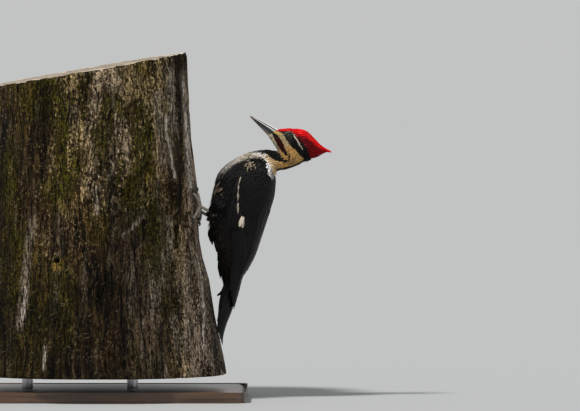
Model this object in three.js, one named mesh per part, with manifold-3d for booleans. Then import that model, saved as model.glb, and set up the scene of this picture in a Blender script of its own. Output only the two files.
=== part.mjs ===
// A male pileated woodpecker, life size, clinging upright to a weathered post on a plain display stand.
//
// Millimetres, +Z up. The origin is the middle of the stand's underside. The bird's mid-plane is y = 0.
// The post and the bird's belly lie towards -X, its back towards +X, and its left side towards -Y.
// The solids carry the bird's outline out to the feather tips.

import * as THREE from "three";
import { mergeVertices } from "three/addons/utils/BufferGeometryUtils.js";
import Module from "manifold-3d";

const wasm = await Module();
wasm.setup();

// ---- Driving sizes ----------------------------------------------------------------------------------

const GAP = 0.3; // clearance between pieces that touch
const FINE = 0.1; // how far a cut solid's surface may shift as its needless edges go
const FINEST = 0.03; // the same for toes and claws
const REACH = 900; // side of a box that stands for a half-space

// The stand: a flat board, and two short rods up into the post's foot.
const BOARD = { length: 540, width: 320, height: 16, corner: 18, chamfer: 2 };
const ROD = { radius: 9, spacing: 170, sides: 18 };

// The post: a weathered log, upright on its left and flared on the bird's side. Its foot is sawn level,
// and its top is askew.
const POST = {
  foot: 38.9, // height of the sawn underside
  leftEdge: -172, // the upright side
  topRight: 559, // height of the slanting top at the bird's side
  topSlope: 0.1667, // rise of the top towards the bird
  topLean: 0.06, // fall of the top towards the viewer
  sides: 40,
  rings: 9,
};
// Height of the post's edge on the bird's side, against how far that edge is from the axis.
const POST_EDGE = [
  [38.9, 237],
  [86, 228.6],
  [134.5, 218.2],
  [191, 209.4],
  [228, 198.6],
  [256, 193.4],
  [300, 190.8],
  [345, 189.8],
  [418, 180],
  [515, 174],
  [600, 171],
];

// Cross-sections of torso, neck and head, each along the line from a front point to a back point:
// [front x, front z, back x, back z, half width, squareness, how far the widest part leans to the back]
const BODY = [
  [230, 195, 246, 181, 9, 2, 0], // tips of the undertail coverts
  [226, 212, 252, 190, 17, 2, 0],
  [225.5, 228, 262, 206, 25, 2.1, 0.05],
  [221, 245, 272, 224, 31, 2.2, 0.05], // vent
  [212.5, 262, 281, 244, 35, 2.2, 0.05],
  [210, 280, 287, 264, 38, 2.2, 0.05],
  [211, 300, 294, 284, 40, 2.2, 0.05], // belly
  [213.5, 323, 301, 303, 41, 2.2, 0.05],
  [217.5, 342, 306.5, 318, 41, 2.2, 0.05],
  [223, 362, 311, 332, 40, 2.2, 0.05], // breast
  [236, 377.5, 313, 345, 37, 2.2, 0],
  [254, 389.3, 314.5, 356, 31, 2.1, 0],
  [275, 398.3, 316, 364.5, 24, 2.1, 0], // shoulders
  [299.5, 402.4, 322, 368.4, 18, 2, 0],
  [312, 401, 333, 370.2, 16.5, 2, 0], // neck
  [318.6, 400.3, 345, 374, 17, 2, 0],
  [319.3, 401.6, 357, 379.4, 18.5, 2.1, -0.05], // nape
  [318.4, 403.8, 367, 388, 19.5, 2.2, -0.1],
  [316.8, 406.4, 370.5, 403, 20, 2.2, -0.12],
  [314, 411, 365, 420, 19.5, 2.2, -0.1],
  [311, 415.4, 354, 431.5, 18, 2.1, -0.05], // eyes
  [308, 420, 341, 436, 14.5, 2, 0],
  [305.2, 424.2, 329, 436.4, 10.6, 2, 0],
  [303.3, 427.2, 320, 435.2, 7.4, 2, 0], // base of the bill
];
const BODY_RINGS = 34;
const BODY_SIDES = 18;

// Cross-sections of the crest, from its root in the crown to its tip:
// [low x, low z, high x, high z, half width, squareness, lean]
const CREST = [
  [354, 384, 330, 434, 10, 2, 0],
  [362, 383.2, 341, 436.7, 15, 2.1, 0],
  [367.5, 383.6, 352, 436.6, 16, 2.1, 0],
  [374, 386.6, 364, 433.8, 14, 2, 0],
  [380, 389, 373, 427.4, 11, 2, 0],
  [386, 392.6, 381.5, 418.4, 8, 2, 0],
  [392, 396.2, 389.5, 410.2, 5.2, 2, 0],
  [398.5, 398.6, 397.5, 404.5, 3, 2, 0],
  [405, 398.2, 404.6, 400.6, 1.1, 2, 0],
];

// The bill, in its own frame: from the tip towards the face, along the line where its two halves meet.
const BILL = {
  tip: [275.4, 455.8],
  slope: THREE.MathUtils.degToRad(36.9), // fall of that line from the tip to the face
  length: 57, // with the root that the face feathers hide
  upperTip: 0.8,
  upperRise: 0.182, // height of the upper half for each millimetre from the tip
  lowerTip: 0.6,
  lowerRise: 0.166,
  lowerMost: 8,
  tipWidth: 1.1, // half width
  rootWidth: 7,
  rings: 8,
};

const EYE = { x: 339.6, z: 422, y: 13.9, radius: 4.9 }; // the ball's centre, left and right of the mid-plane

// The folded wings, outside the torso: the same kind of cross-sections, with the wings on.
const WING = [
  [275, 398.5, 318.5, 369, 30, 2.3, 0],
  [254, 389.6, 317.5, 356, 39.5, 2.3, 0.05],
  [236.5, 378, 316.5, 341, 44, 2.3, 0.08],
  [223.6, 364.5, 314.6, 326, 46.5, 2.3, 0.1],
  [218, 342, 309.6, 309, 47.5, 2.3, 0.12],
  [214, 325, 303.8, 292, 47, 2.3, 0.14],
  [211, 298, 297, 271, 45, 2.2, 0.16],
  [210, 277, 290.6, 251, 42, 2.2, 0.18],
  [213, 256, 282.5, 229, 38, 2.2, 0.2],
  [219, 240, 272.5, 210, 33.5, 2.2, 0.2],
  [221, 222, 264, 194, 29.5, 2.2, 0.2],
  [222, 202, 258.4, 172, 26, 2.2, 0.2],
  [221, 180, 253.4, 152, 23, 2.2, 0.2],
  [219, 165, 250.5, 140, 21, 2.2, 0.2],
];
const WING_THICK = { shoulder: 9, tip: 1.8 };
const WING_RINGS = 18;
// The folded wing seen from the side: round the bend, down the back to the two rows of tips,
// and up the front edge.
const WING_OUTLINE = [
  [260, 357],
  [264, 370],
  [274, 380.5],
  [288, 385.6],
  [299, 384],
  [309, 375.5],
  [316, 362],
  [330, 340],
  [322, 290],
  [300, 232],
  [277, 200],
  [262.4, 191.5], // tips of the secondaries
  [266, 170],
  [253.5, 149.6], // tips of the primaries
  [246, 156],
  [245, 178],
  [247.5, 208],
  [251, 240],
  [254.5, 275],
  [256.5, 310],
  [257.5, 336],
];
const COVERT_LINE = [
  [240, 304],
  [318, 262],
]; // where the greater coverts end on the flight feathers
const FLIGHT_LINE = [
  [265, 300],
  [246, 150],
]; // primaries in front of it, secondaries behind

// The tail: five pairs of stiff feathers in a roof, the middle pair longest and on top.
const TAIL = {
  pairs: 5,
  // the middle pair's top edge from its root down to the tip, on the post
  ridge: [
    [254, 205],
    [252.5, 175],
    [246, 145],
    [236.6, 120],
    [231.4, 101],
    [230, 84],
  ],
  lengths: [1, 0.955, 0.865, 0.74, 0.56], // of the middle pair's length
  halfWidth: [8.6, 8.8, 8.6, 7.8, 6.4],
  spread: [4.4, 10.2, 15.4, 19.4, 22], // how far each shaft is from the mid-plane
  drop: [0, 2.4, 6.6, 11.6, 16], // how far each shaft lies below the ridge, towards the post
  roll: [4, 16, 32, 46, 58], // turn of each vane about its shaft, in degrees
  thickness: 1.5,
};

// Legs, for the left side. The right foot holds the post a little lower.
const LEG = {
  hip: [238, -31, 320],
  knee: [211.5, -25.5, 301],
  heel: [214.8, -25.2, 299.6],
  foot: [198.6, -34, 312],
  thighRadius: 15,
  kneeRadius: 5.4,
  shankRadius: 2.5,
  rightFootDrop: 9,
};
// Each toe's end on the post: how far sideways from the foot and how far up, with its half thickness
// and its claw's reach.
const TOES = [
  { name: "1", side: 9, up: -19, radius: 1.7, claw: 7.5 },
  { name: "2", side: 5, up: 23, radius: 1.9, claw: 9 },
  { name: "3", side: -20, up: 21, radius: 2.1, claw: 10.5 },
  { name: "4", side: -25, up: -21, radius: 2.1, claw: 10.5 },
];
const TOE_ARCH = 2.6;
const CLAW_THICK = 1.5;

// ---- Materials --------------------------------------------------------------------------------------

const finish = (color, roughness, metalness = 0) =>
  new THREE.MeshStandardMaterial({ color, roughness, metalness });
const MATERIAL = {
  plumage: finish(0x141417, 0.55),
  wing: finish(0x101014, 0.45),
  crest: finish(0xc8141a, 0.6),
  bill: finish(0x3a3c40, 0.3),
  eye: finish(0x8a7a2c, 0.1),
  leg: finish(0x4b4d50, 0.6),
  claw: finish(0x1c1d20, 0.3),
  post: finish(0x4a3c2c, 0.9),
  board: finish(0x3b2a1d, 0.45),
  rod: finish(0xb8babd, 0.3, 1),
};

// ---- Shapes -----------------------------------------------------------------------------------------

const at = (x, y, z) => new THREE.Vector3(x, y, z);

/** A closed surface through rings of points, with a fan over each end. */
function skinRings(rings) {
  const sides = rings[0].length;
  const points = rings.flat();
  const faces = [];
  rings.slice(1).forEach((_, i) => {
    for (let k = 0; k < sides; k++) {
      const a = i * sides + k;
      const b = i * sides + ((k + 1) % sides);
      faces.push([a, b, b + sides], [a, b + sides, a + sides]);
    }
  });
  const cap = (ring, first, turn) => {
    const middle = ring.reduce((sum, p) => sum.add(p), at(0, 0, 0)).divideScalar(sides);
    points.push(middle);
    for (let k = 0; k < sides; k++) {
      const edge = [first + k, first + ((k + 1) % sides)];
      faces.push([points.length - 1, ...(turn ? edge.reverse() : edge)]);
    }
  };
  cap(rings[0], 0, true);
  cap(rings.at(-1), (rings.length - 1) * sides, false);
  return facing(points, faces);
}

/** A geometry whose faces point out, whichever way its rings ran. */
function facing(points, faces) {
  const volume = faces.reduce(
    (sum, [a, b, c]) => sum + points[a].dot(points[b].clone().cross(points[c])),
    0,
  );
  const outward = volume < 0 ? faces.map(([a, b, c]) => [a, c, b]) : faces;
  return new THREE.BufferGeometry().setFromPoints(points).setIndex(outward.flat());
}

/** Rounded power, which turns a circle's cosine or sine into that of a squarer or leaner oval. */
const squared = (value, power) => Math.sign(value) * Math.abs(value) ** (2 / power);

/** A body through cross-sections such as BODY's. grow(t) swells it, t running from 0 to 1 along it. */
function loft(sections, rings, grow = () => 0, sides = BODY_SIDES) {
  const curve = (pick) => new THREE.CatmullRomCurve3(sections.map(pick));
  const front = curve(([x, z]) => at(x, 0, z));
  const back = curve(([, , x, z]) => at(x, 0, z));
  const size = curve((row) => at(row[4], row[5], row[6]));
  return skinRings(
    Array.from({ length: rings }, (_, i) => {
      const t = i / (rings - 1);
      const [from, to, girth, more] = [front.getPoint(t), back.getPoint(t), size.getPoint(t), grow(t)];
      const line = to.clone().sub(from);
      const half = line.length() / 2 + more;
      line.normalize();
      const middle = from.add(to).divideScalar(2);
      return Array.from({ length: sides }, (_, k) => {
        const turn = (2 * Math.PI * k) / sides;
        const along = squared(Math.cos(turn), girth.y);
        const leaning = along + girth.z * (1 - along * along);
        const across = (girth.x + more) * squared(Math.sin(turn), girth.y);
        return middle.clone().addScaledVector(line, half * leaning).add(at(0, across, 0));
      });
    }),
  );
}

/** A tube of oval section: place(t) is its middle, and halves(t) its half width and half thickness. */
function tube(place, halves, { rings, sides, across }) {
  const ahead = (t) => place(Math.min(1, t + 0.01)).sub(place(Math.max(0, t - 0.01))).normalize();
  return skinRings(
    Array.from({ length: rings }, (_, i) => {
      const t = i / (rings - 1);
      const normal = ahead(t).cross(across(t)).normalize();
      const wide = normal.clone().cross(ahead(t)).normalize();
      const [w, h] = halves(t);
      return Array.from({ length: sides }, (_, k) => {
        const turn = (2 * Math.PI * k) / sides;
        return place(t).addScaledVector(wide, w * Math.cos(turn)).addScaledVector(normal, h * Math.sin(turn));
      });
    }),
  );
}

/** A geometry as a solid that can be joined and cut. */
function solid(geometry) {
  const bare = geometry.clone();
  Object.keys(bare.attributes)
    .filter((name) => name !== "position")
    .forEach((name) => bare.deleteAttribute(name));
  const merged = mergeVertices(bare, 1e-4);
  return new wasm.Manifold(
    new wasm.Mesh({
      numProp: 3,
      vertProperties: new Float32Array(merged.attributes.position.array),
      triVerts: new Uint32Array(merged.index.array),
    }),
  );
}

/** A solid back as a geometry. */
function shape(made) {
  const { vertProperties, triVerts } = made.getMesh();
  return new THREE.BufferGeometry()
    .setAttribute("position", new THREE.BufferAttribute(vertProperties, 3))
    .setIndex(new THREE.BufferAttribute(triVerts, 1));
}

/** The largest of a solid's separate bodies, without the crumbs and needless edges that a cut leaves. */
const mainBody = (made, fine = FINE) =>
  made.decompose().sort((a, b) => b.volume() - a.volume())[0].simplify(fine);

/** All that lies to the left of the line from one point of the mid-plane to another, less half a gap. */
function leftOf([x0, z0], [x1, z1]) {
  const tilt = Math.atan2(z1 - z0, x1 - x0);
  const box = new THREE.BoxGeometry(REACH, REACH, REACH).translate(0, 0, (REACH + GAP) / 2);
  return solid(box.rotateY(-tilt).translate(x0, 0, z0));
}
const rightOf = (from, to) => leftOf(to, from);

/** A side-view outline as a thick slab on the left of the bird, from y = -GAP / 2 outwards. */
function slab(outline) {
  const drawn = new THREE.Shape(outline.map(([x, z]) => new THREE.Vector2(x, z)));
  const made = new THREE.ExtrudeGeometry(drawn, { depth: 100, bevelEnabled: false });
  return solid(made.rotateX(Math.PI / 2).translate(0, -GAP / 2, 0));
}

/** The same geometry on the other side of the mid-plane. */
function mirrored(geometry) {
  const other = geometry.clone().scale(1, -1, 1);
  const index = Array.from(other.index.array);
  const turned = index.map((_, i) => index[i % 3 === 0 ? i : i + (i % 3 === 1 ? 1 : -1)]);
  return other.setIndex(turned);
}

const group = new THREE.Group();
function add(name, geometry, material) {
  const mesh = new THREE.Mesh(geometry, material);
  mesh.name = name;
  group.add(mesh);
}

// ---- The post ---------------------------------------------------------------------------------------

/** How far the post's edge on the bird's side is from the axis, at height z. */
const edgeCurve = new THREE.SplineCurve(POST_EDGE.map(([z, x]) => new THREE.Vector2(z, x)));
function postEdge(z) {
  const i = Math.max(0, POST_EDGE.findLastIndex(([low]) => low <= z));
  const [low, high] = [POST_EDGE[i], POST_EDGE[Math.min(i + 1, POST_EDGE.length - 1)]];
  const share = high[0] > low[0] ? (z - low[0]) / (high[0] - low[0]) : 0;
  return edgeCurve.getPoint((i + share) / (POST_EDGE.length - 1)).y;
}

/** The post's round section at height z: the place of its middle, and its radius. */
const postMiddle = (z) => (postEdge(z) + POST.leftEdge) / 2;
const postRadius = (z) => (postEdge(z) - POST.leftEdge) / 2;

/** x of the post's face on the bird's side. */
const postFace = (y, z) => postMiddle(z) + Math.sqrt(postRadius(z) ** 2 - y ** 2);

/** Shallow flutes round the post, which die out where the bird holds it. */
function flute(turn, z) {
  const away = (1 - Math.cos(turn)) / 2;
  return away * (3.2 * Math.sin(5 * turn + z / 160) + 2.2 * Math.sin(9 * turn - z / 90) - 2.4);
}

function makePost() {
  const top = (x, y) => POST.topRight - POST.topSlope * (172 - x) + POST.topLean * y;
  const rings = Array.from({ length: POST.rings }, (_, i) =>
    Array.from({ length: POST.sides }, (_, k) => {
      const turn = (2 * Math.PI * k) / POST.sides;
      const reach = (z) => {
        const radius = postRadius(z) + flute(turn, z);
        return [postMiddle(z) + radius * Math.cos(turn), radius * Math.sin(turn)];
      };
      const height = top(...reach(POST.topRight));
      const z = THREE.MathUtils.lerp(POST.foot, height, i / (POST.rings - 1));
      return at(...reach(z), z);
    }),
  );
  add("perch_post", skinRings(rings), MATERIAL.post);
}

// ---- The stand --------------------------------------------------------------------------------------

function makeStand() {
  const { length, width, height, corner, chamfer } = BOARD;
  const [x, y, r] = [length / 2 - chamfer, width / 2 - chamfer, corner];
  const outline = new THREE.Shape();
  outline.absarc(x - r, y - r, r, 0, Math.PI / 2);
  outline.absarc(r - x, y - r, r, Math.PI / 2, Math.PI);
  outline.absarc(r - x, r - y, r, Math.PI, 1.5 * Math.PI);
  outline.absarc(x - r, r - y, r, 1.5 * Math.PI, 2 * Math.PI);
  const board = new THREE.ExtrudeGeometry(outline, {
    depth: height - 2 * chamfer,
    bevelThickness: chamfer,
    bevelSize: chamfer,
    bevelSegments: 1,
    curveSegments: 3,
  });
  add("stand_board", board.translate(0, 0, chamfer), MATERIAL.board);
  const tall = POST.foot - height - 2 * GAP;
  [-1, 1].forEach((side, i) => {
    const rod = new THREE.CylinderGeometry(ROD.radius, ROD.radius, tall, ROD.sides).rotateX(Math.PI / 2);
    const middle = height + GAP + tall / 2;
    add(`stand_rod_${i + 1}`, rod.translate((side * ROD.spacing) / 2, 0, middle), MATERIAL.rod);
  });
}

// ---- Bill and eyes ----------------------------------------------------------------------------------

/** A point of the bill: u from the tip towards the face, h above the line where the halves meet, y across. */
function onBill(u, h, y) {
  const [cos, sin] = [Math.cos(BILL.slope), Math.sin(BILL.slope)];
  return at(BILL.tip[0] + u * cos + h * sin, y, BILL.tip[1] - u * sin + h * cos);
}
const billHalfWidth = (u) => THREE.MathUtils.lerp(BILL.tipWidth, BILL.rootWidth, Math.min(1, u / 50) ** 0.8);

/** The upper half: a ridge on top, a shelf along each side and a flat underside. */
function upperBill(grow = 0) {
  return skinRings(
    Array.from({ length: BILL.rings }, (_, i) => {
      const u = (i / (BILL.rings - 1)) * BILL.length;
      const high = BILL.upperTip + BILL.upperRise * Math.min(u, 49) + grow;
      const wide = billHalfWidth(u) + grow;
      const low = GAP / 2 - grow;
      const half = [
        [0, high],
        [0.42, high * 0.86],
        [0.86, high * 0.5],
        [1, high * 0.3],
        [0.92, low],
      ];
      const right = half.map(([y, h]) => onBill(u, h, y * wide));
      const left = half.slice(1).reverse().map(([y, h]) => onBill(u, h, -y * wide));
      return [...right, ...left];
    }),
  );
}

/** The lower half: flat on top and round below. */
function lowerBill(grow = 0) {
  return skinRings(
    Array.from({ length: BILL.rings }, (_, i) => {
      const u = (i / (BILL.rings - 1)) * (BILL.length - 3) + 0.8;
      const deep = Math.min(BILL.lowerMost, BILL.lowerTip + BILL.lowerRise * u) + grow;
      const wide = billHalfWidth(u) * 0.9 + grow;
      const top = GAP / 2 - grow;
      const half = [
        [0, deep],
        [0.5, deep * 0.9],
        [0.88, deep * 0.56],
        [1, top],
      ];
      const right = half.map(([y, h]) => onBill(u, -h, y * wide));
      const left = half.slice(1).reverse().map(([y, h]) => onBill(u, -h, -y * wide));
      return [...right, ...left];
    }),
  );
}

const eyeball = (side, grow = 0) =>
  new THREE.SphereGeometry(EYE.radius + grow, 10, 7).translate(EYE.x, side * EYE.y, EYE.z);

// ---- Head, neck and torso ---------------------------------------------------------------------------

const HEAD_LINE = [
  [319, 400.9],
  [352, 377],
]; // throat to nape
const NECK_LINE = [
  [299.5, 402.6],
  [318, 366],
]; // foot of the neck

const body = (grow = 0) => solid(loft(BODY, BODY_RINGS, () => grow));

function makeBody() {
  const whole = body();
  const bill = [upperBill(GAP), lowerBill(GAP)].map(solid);
  const eyes = [-1, 1].map((side) => solid(eyeball(side, GAP)));
  const above = whole.intersect(leftOf(...HEAD_LINE));
  const head = [...bill, ...eyes].reduce((rest, cut) => rest.subtract(cut), above);
  const below = whole.intersect(rightOf(...HEAD_LINE));
  add("head", shape(mainBody(head)), MATERIAL.plumage);
  add("neck", shape(mainBody(below.intersect(leftOf(...NECK_LINE)))), MATERIAL.plumage);
  add("torso", shape(mainBody(below.intersect(rightOf(...NECK_LINE)))), MATERIAL.plumage);
  add("bill_upper", upperBill(), MATERIAL.bill);
  add("bill_lower", lowerBill(), MATERIAL.bill);
  add("eye_left", eyeball(-1), MATERIAL.eye);
  add("eye_right", eyeball(1), MATERIAL.eye);
  const crest = solid(loft(CREST, 13, () => 0, 16)).subtract(body(GAP));
  add("crest", shape(mainBody(crest)), MATERIAL.crest);
}

// ---- Wings ------------------------------------------------------------------------------------------

function makeWings(tail) {
  const thick = (t) => -THREE.MathUtils.lerp(WING_THICK.shoulder, WING_THICK.tip, Math.min(1, t * 1.15));
  const shell = solid(loft(WING, WING_RINGS))
    .subtract(solid(loft(WING, WING_RINGS, thick)))
    .subtract(body(2 * GAP))
    .subtract(tail);
  const wing = shell.intersect(slab(WING_OUTLINE));
  const flight = wing.intersect(rightOf(...COVERT_LINE));
  const parts = {
    coverts: wing.intersect(leftOf(...COVERT_LINE)),
    secondaries: flight.intersect(leftOf(...FLIGHT_LINE)),
    primaries: flight.intersect(rightOf(...FLIGHT_LINE)),
  };
  Object.entries(parts).forEach(([name, part]) => {
    const left = shape(mainBody(part));
    add(`wing_left_${name}`, left, MATERIAL.wing);
    add(`wing_right_${name}`, mirrored(left), MATERIAL.wing);
  });
}

// ---- Tail -------------------------------------------------------------------------------------------

/** The tail feathers on both sides as one solid. grow swells each vane. */
function tailFeathers(grow = 0) {
  const ridge = new THREE.CatmullRomCurve3(TAIL.ridge.map(([x, z]) => at(x, 0, z)));
  const feathers = [];
  for (let pair = 0; pair < TAIL.pairs; pair++) {
    for (const side of [-1, 1]) {
      const place = (t) => {
        const spot = ridge.getPoint(t * TAIL.lengths[pair]);
        const open = Math.min(1, 0.35 + t * 1.3); // the vanes fan out from the root
        const closing = 1 - 0.3 * t ** 3; // and draw in again towards the tips
        const floor = postFace(side * TAIL.spread[pair], spot.z) + TAIL.thickness / 2 + GAP;
        const x = Math.max(spot.x - TAIL.thickness / 2 - TAIL.drop[pair] * open, floor);
        return at(x, side * TAIL.spread[pair] * open * closing, spot.z);
      };
      const halves = (t) => [
        TAIL.halfWidth[pair] * Math.min(1, 0.5 + t) * (1 - t ** 5) + 0.5 + grow,
        TAIL.thickness / 2 + grow,
      ];
      const roll = THREE.MathUtils.degToRad(TAIL.roll[pair]);
      const across = (t) => at(Math.sin(roll) * (1 - t ** 2), -side * Math.cos(roll), 0).normalize();
      feathers.push(solid(tube(place, halves, { rings: 6, sides: 6, across })));
    }
  }
  return feathers.reduce((joined, feather) => joined.add(feather));
}

function makeTail() {
  const tail = tailFeathers().subtract(body(GAP));
  add("tail", shape(mainBody(tail)), MATERIAL.wing);
}

// ---- Legs -------------------------------------------------------------------------------------------

function makeLeg(side, name) {
  const drop = side > 0 ? LEG.rightFootDrop : 0;
  const spot = ([x, y, z]) => at(x, side * -y, z - drop);
  const [hip, knee, heel, foot] = [LEG.hip, LEG.knee, LEG.heel, LEG.foot].map(spot);
  foot.x = postFace(foot.y, foot.z) + 6;
  const sideways = () => at(0, 1, 0);

  const shank = (grow = 0) =>
    tube(
      (t) => heel.clone().lerp(foot, t),
      (t) => [LEG.shankRadius + 0.5 * t + grow, LEG.shankRadius + grow],
      { rings: 4, sides: 8, across: sideways },
    );
  const thigh = tube(
    (t) => hip.clone().lerp(knee, t),
    (t) => {
      const rounding = Math.sqrt(1 - 0.9 * (1 - Math.min(1, 2.2 * t)) ** 2);
      return Array(2).fill(rounding * THREE.MathUtils.lerp(LEG.thighRadius, LEG.kneeRadius, t ** 1.4));
    },
    { rings: 7, sides: 10, across: sideways },
  );
  const sleeve = solid(thigh).subtract(body(GAP)).subtract(solid(shank(GAP)));
  add(`thigh_${name}`, shape(mainBody(sleeve)), MATERIAL.plumage);
  add(`shank_${name}`, shank(), MATERIAL.leg);

  const taken = [solid(shank(GAP))];
  TOES.forEach((toe) => {
    const path = toePath(foot, side, toe);
    const toeTube = (grow = 0) =>
      solid(
        tube(path.place, (t) => Array(2).fill(toe.radius * (1.25 - 0.35 * t) + grow), {
          rings: 6,
          sides: 8,
          across: path.across,
        }),
      );
    const clawHalves = (t) => [CLAW_THICK * (1 - t) * 0.8 + 0.3, CLAW_THICK * (1 - t) + 0.35];
    const claw = solid(tube(path.clawPlace, clawHalves, { rings: 6, sides: 6, across: path.across }));
    const toeMade = taken.reduce((rest, cut) => rest.subtract(cut), toeTube());
    const clawMade = claw.subtract(toeTube(GAP));
    add(`toe_${name}_${toe.name}`, shape(mainBody(toeMade, FINEST)), MATERIAL.leg);
    add(`claw_${name}_${toe.name}`, shape(mainBody(clawMade, FINEST)), MATERIAL.claw);
    taken.push(toeTube(GAP));
  });
}

/** Where a toe lies on the post, arched from the foot to its end, and where its claw hooks into the wood. */
function toePath(foot, side, toe) {
  const end = { y: foot.y - side * toe.side, z: foot.z + toe.up };
  const on = (y, z, lift) => at(postFace(y, z) + lift, y, z);
  const place = (t) => {
    const lift = THREE.MathUtils.lerp(6, toe.radius + 1.6, t) + TOE_ARCH * Math.sin(Math.PI * t) * 0.5;
    return on(THREE.MathUtils.lerp(foot.y, end.y, t), THREE.MathUtils.lerp(foot.z, end.z, t), lift);
  };
  const run = at(0, end.y - foot.y, end.z - foot.z).normalize();
  const clawPlace = (t) => {
    const forward = toe.claw * Math.sin((t * Math.PI) / 2.2) - 1.2;
    const lift = toe.radius + 1.6 + 2 * Math.sin(Math.PI * t) * 0.6 - (toe.radius + 0.75) * t ** 1.6;
    return on(end.y + run.y * forward, end.z + run.z * forward, lift);
  };
  const across = () => at(0, run.z, -run.y);
  return { place, clawPlace, across };
}

// ---- The whole --------------------------------------------------------------------------------------

makeStand();
makePost();
makeBody();
makeTail();
makeWings(tailFeathers(GAP));
makeLeg(-1, "left");
makeLeg(1, "right");

export default group;
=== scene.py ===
"""The looks of a male pileated woodpecker that clings to a cut length of weathered trunk on a plain stand.

Tables of sizes and places are in millimetres, and meshes are in metres. The bird's mid-plane is y = 0. The
trunk lies towards -X, the bird's back towards +X and its left side towards -Y.
"""

import math

import bpy
import numpy as np
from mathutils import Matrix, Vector


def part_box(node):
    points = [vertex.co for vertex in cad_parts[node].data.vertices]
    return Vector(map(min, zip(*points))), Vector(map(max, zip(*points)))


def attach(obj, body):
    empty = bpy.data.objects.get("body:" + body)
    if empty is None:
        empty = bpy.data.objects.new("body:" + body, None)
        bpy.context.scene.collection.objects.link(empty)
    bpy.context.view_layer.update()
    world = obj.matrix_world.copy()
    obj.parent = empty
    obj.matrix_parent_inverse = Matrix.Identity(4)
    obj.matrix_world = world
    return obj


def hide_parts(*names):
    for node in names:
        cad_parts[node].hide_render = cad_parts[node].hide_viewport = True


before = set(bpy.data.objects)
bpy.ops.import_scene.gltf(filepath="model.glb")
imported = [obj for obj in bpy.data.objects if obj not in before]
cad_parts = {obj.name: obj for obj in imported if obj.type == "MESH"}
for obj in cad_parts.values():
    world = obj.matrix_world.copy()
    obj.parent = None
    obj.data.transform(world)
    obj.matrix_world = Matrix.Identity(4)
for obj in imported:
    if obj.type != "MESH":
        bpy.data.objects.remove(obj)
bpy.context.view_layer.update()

MM = 0.001
FAR_OFF = 1e6
SCENE = bpy.context.scene
SEED = 7
chance = np.random.default_rng(SEED)
between = chance.uniform

# ---- Numbers along lines -------------------------------------------------------------------------


def stray(spread, count):
    """Random numbers round 0."""
    return chance.normal(0, spread, count)


def smooth(low, high, x):
    """0 below low, 1 above high and an S-curve between, which also runs down where low is above high."""
    t = np.clip((np.asarray(x, float) - low) / (high - low), 0, 1)
    return t * t * (3 - 2 * t)


def spline(rows, q):
    """Rows of numbers as smooth curves, read at q, which counts rows."""
    rows = np.asarray(rows, float)
    last = len(rows) - 1
    i = np.clip(np.floor(q).astype(int), 0, last - 1)
    t = (np.asarray(q, float) - i)[:, None]
    p1, p2 = rows[i], rows[i + 1]
    p0 = np.where((i == 0)[:, None], 2 * p1 - p2, rows[np.maximum(i - 1, 0)])
    p3 = np.where((i == last - 1)[:, None], 2 * p2 - p1, rows[np.minimum(i + 2, last)])
    bend = 2 * p0 - 5 * p1 + 4 * p2 - p3
    turn = -p0 + 3 * p1 - 3 * p2 + p3
    return 0.5 * (2 * p1 + (p2 - p0) * t + bend * t**2 + turn * t**3)


def unit(v):
    return v / np.maximum(np.linalg.norm(v, axis=-1, keepdims=True), 1e-12)


def scramble(cell, seed):
    """A fixed random number from 0 to 1 for each cell of a lattice."""
    n = cell[..., 0] * 73856093 ^ cell[..., 1] * 19349663 ^ cell[..., 2] * 83492791 ^ seed * 2654435761
    n = (n ^ (n >> 13)) * 1274126177 & 0x7FFFFFFF
    return ((n ^ (n >> 16)) & 0xFFFF) / 65535.0


def noise(p, seed=0):
    """Smooth random values from 0 to 1 at points p, with features about one unit across."""
    cell = np.floor(p).astype(np.int64)
    t = p - cell
    t = t * t * (3 - 2 * t)
    total = 0.0
    for corner in np.ndindex(2, 2, 2):
        weight = np.prod(np.where(np.array(corner), t, 1 - t), axis=-1)
        total = total + weight * scramble(cell + np.array(corner), seed)
    return total


def cloud(p, seed=0, octaves=4):
    """Noise in several sizes, from 0 to 1."""
    parts = [noise(p * 2.03**k, seed + 17 * k) * 0.5**k for k in range(octaves)]
    return sum(parts) / sum(0.5**k for k in range(octaves))


def to_path(path, x, z):
    """The distance from points (x, z) to a broken line, and how far along it the nearest place is, 0 to 1."""
    path = np.asarray(path, float)
    best, where = np.full(np.shape(x), FAR_OFF), np.zeros(np.shape(x))
    steps = np.linalg.norm(np.diff(path, axis=0), axis=1)
    starts = np.concatenate([[0], np.cumsum(steps)])
    for (x0, z0), (x1, z1), step, start in zip(path[:-1], path[1:], steps, starts):
        t = np.clip(((x - x0) * (x1 - x0) + (z - z0) * (z1 - z0)) / step**2, 0, 1)
        away = np.hypot(x - x0 - t * (x1 - x0), z - z0 - t * (z1 - z0))
        where = np.where(away < best, (start + t * step) / starts[-1], where)
        best = np.minimum(best, away)
    return best, where


def inside(outline, x, z):
    """Whether points (x, z) lie inside a closed outline."""
    found = np.zeros(np.shape(x), bool)
    for (x0, z0), (x1, z1) in zip(outline, outline[1:] + outline[:1]):
        crosses = (z0 > z) != (z1 > z)
        found ^= crosses & (x < (x1 - x0) * (z - z0) / ((z1 - z0) or 1e-9) + x0)
    return found


# ---- Rounded forms -------------------------------------------------------------------------------


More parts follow.
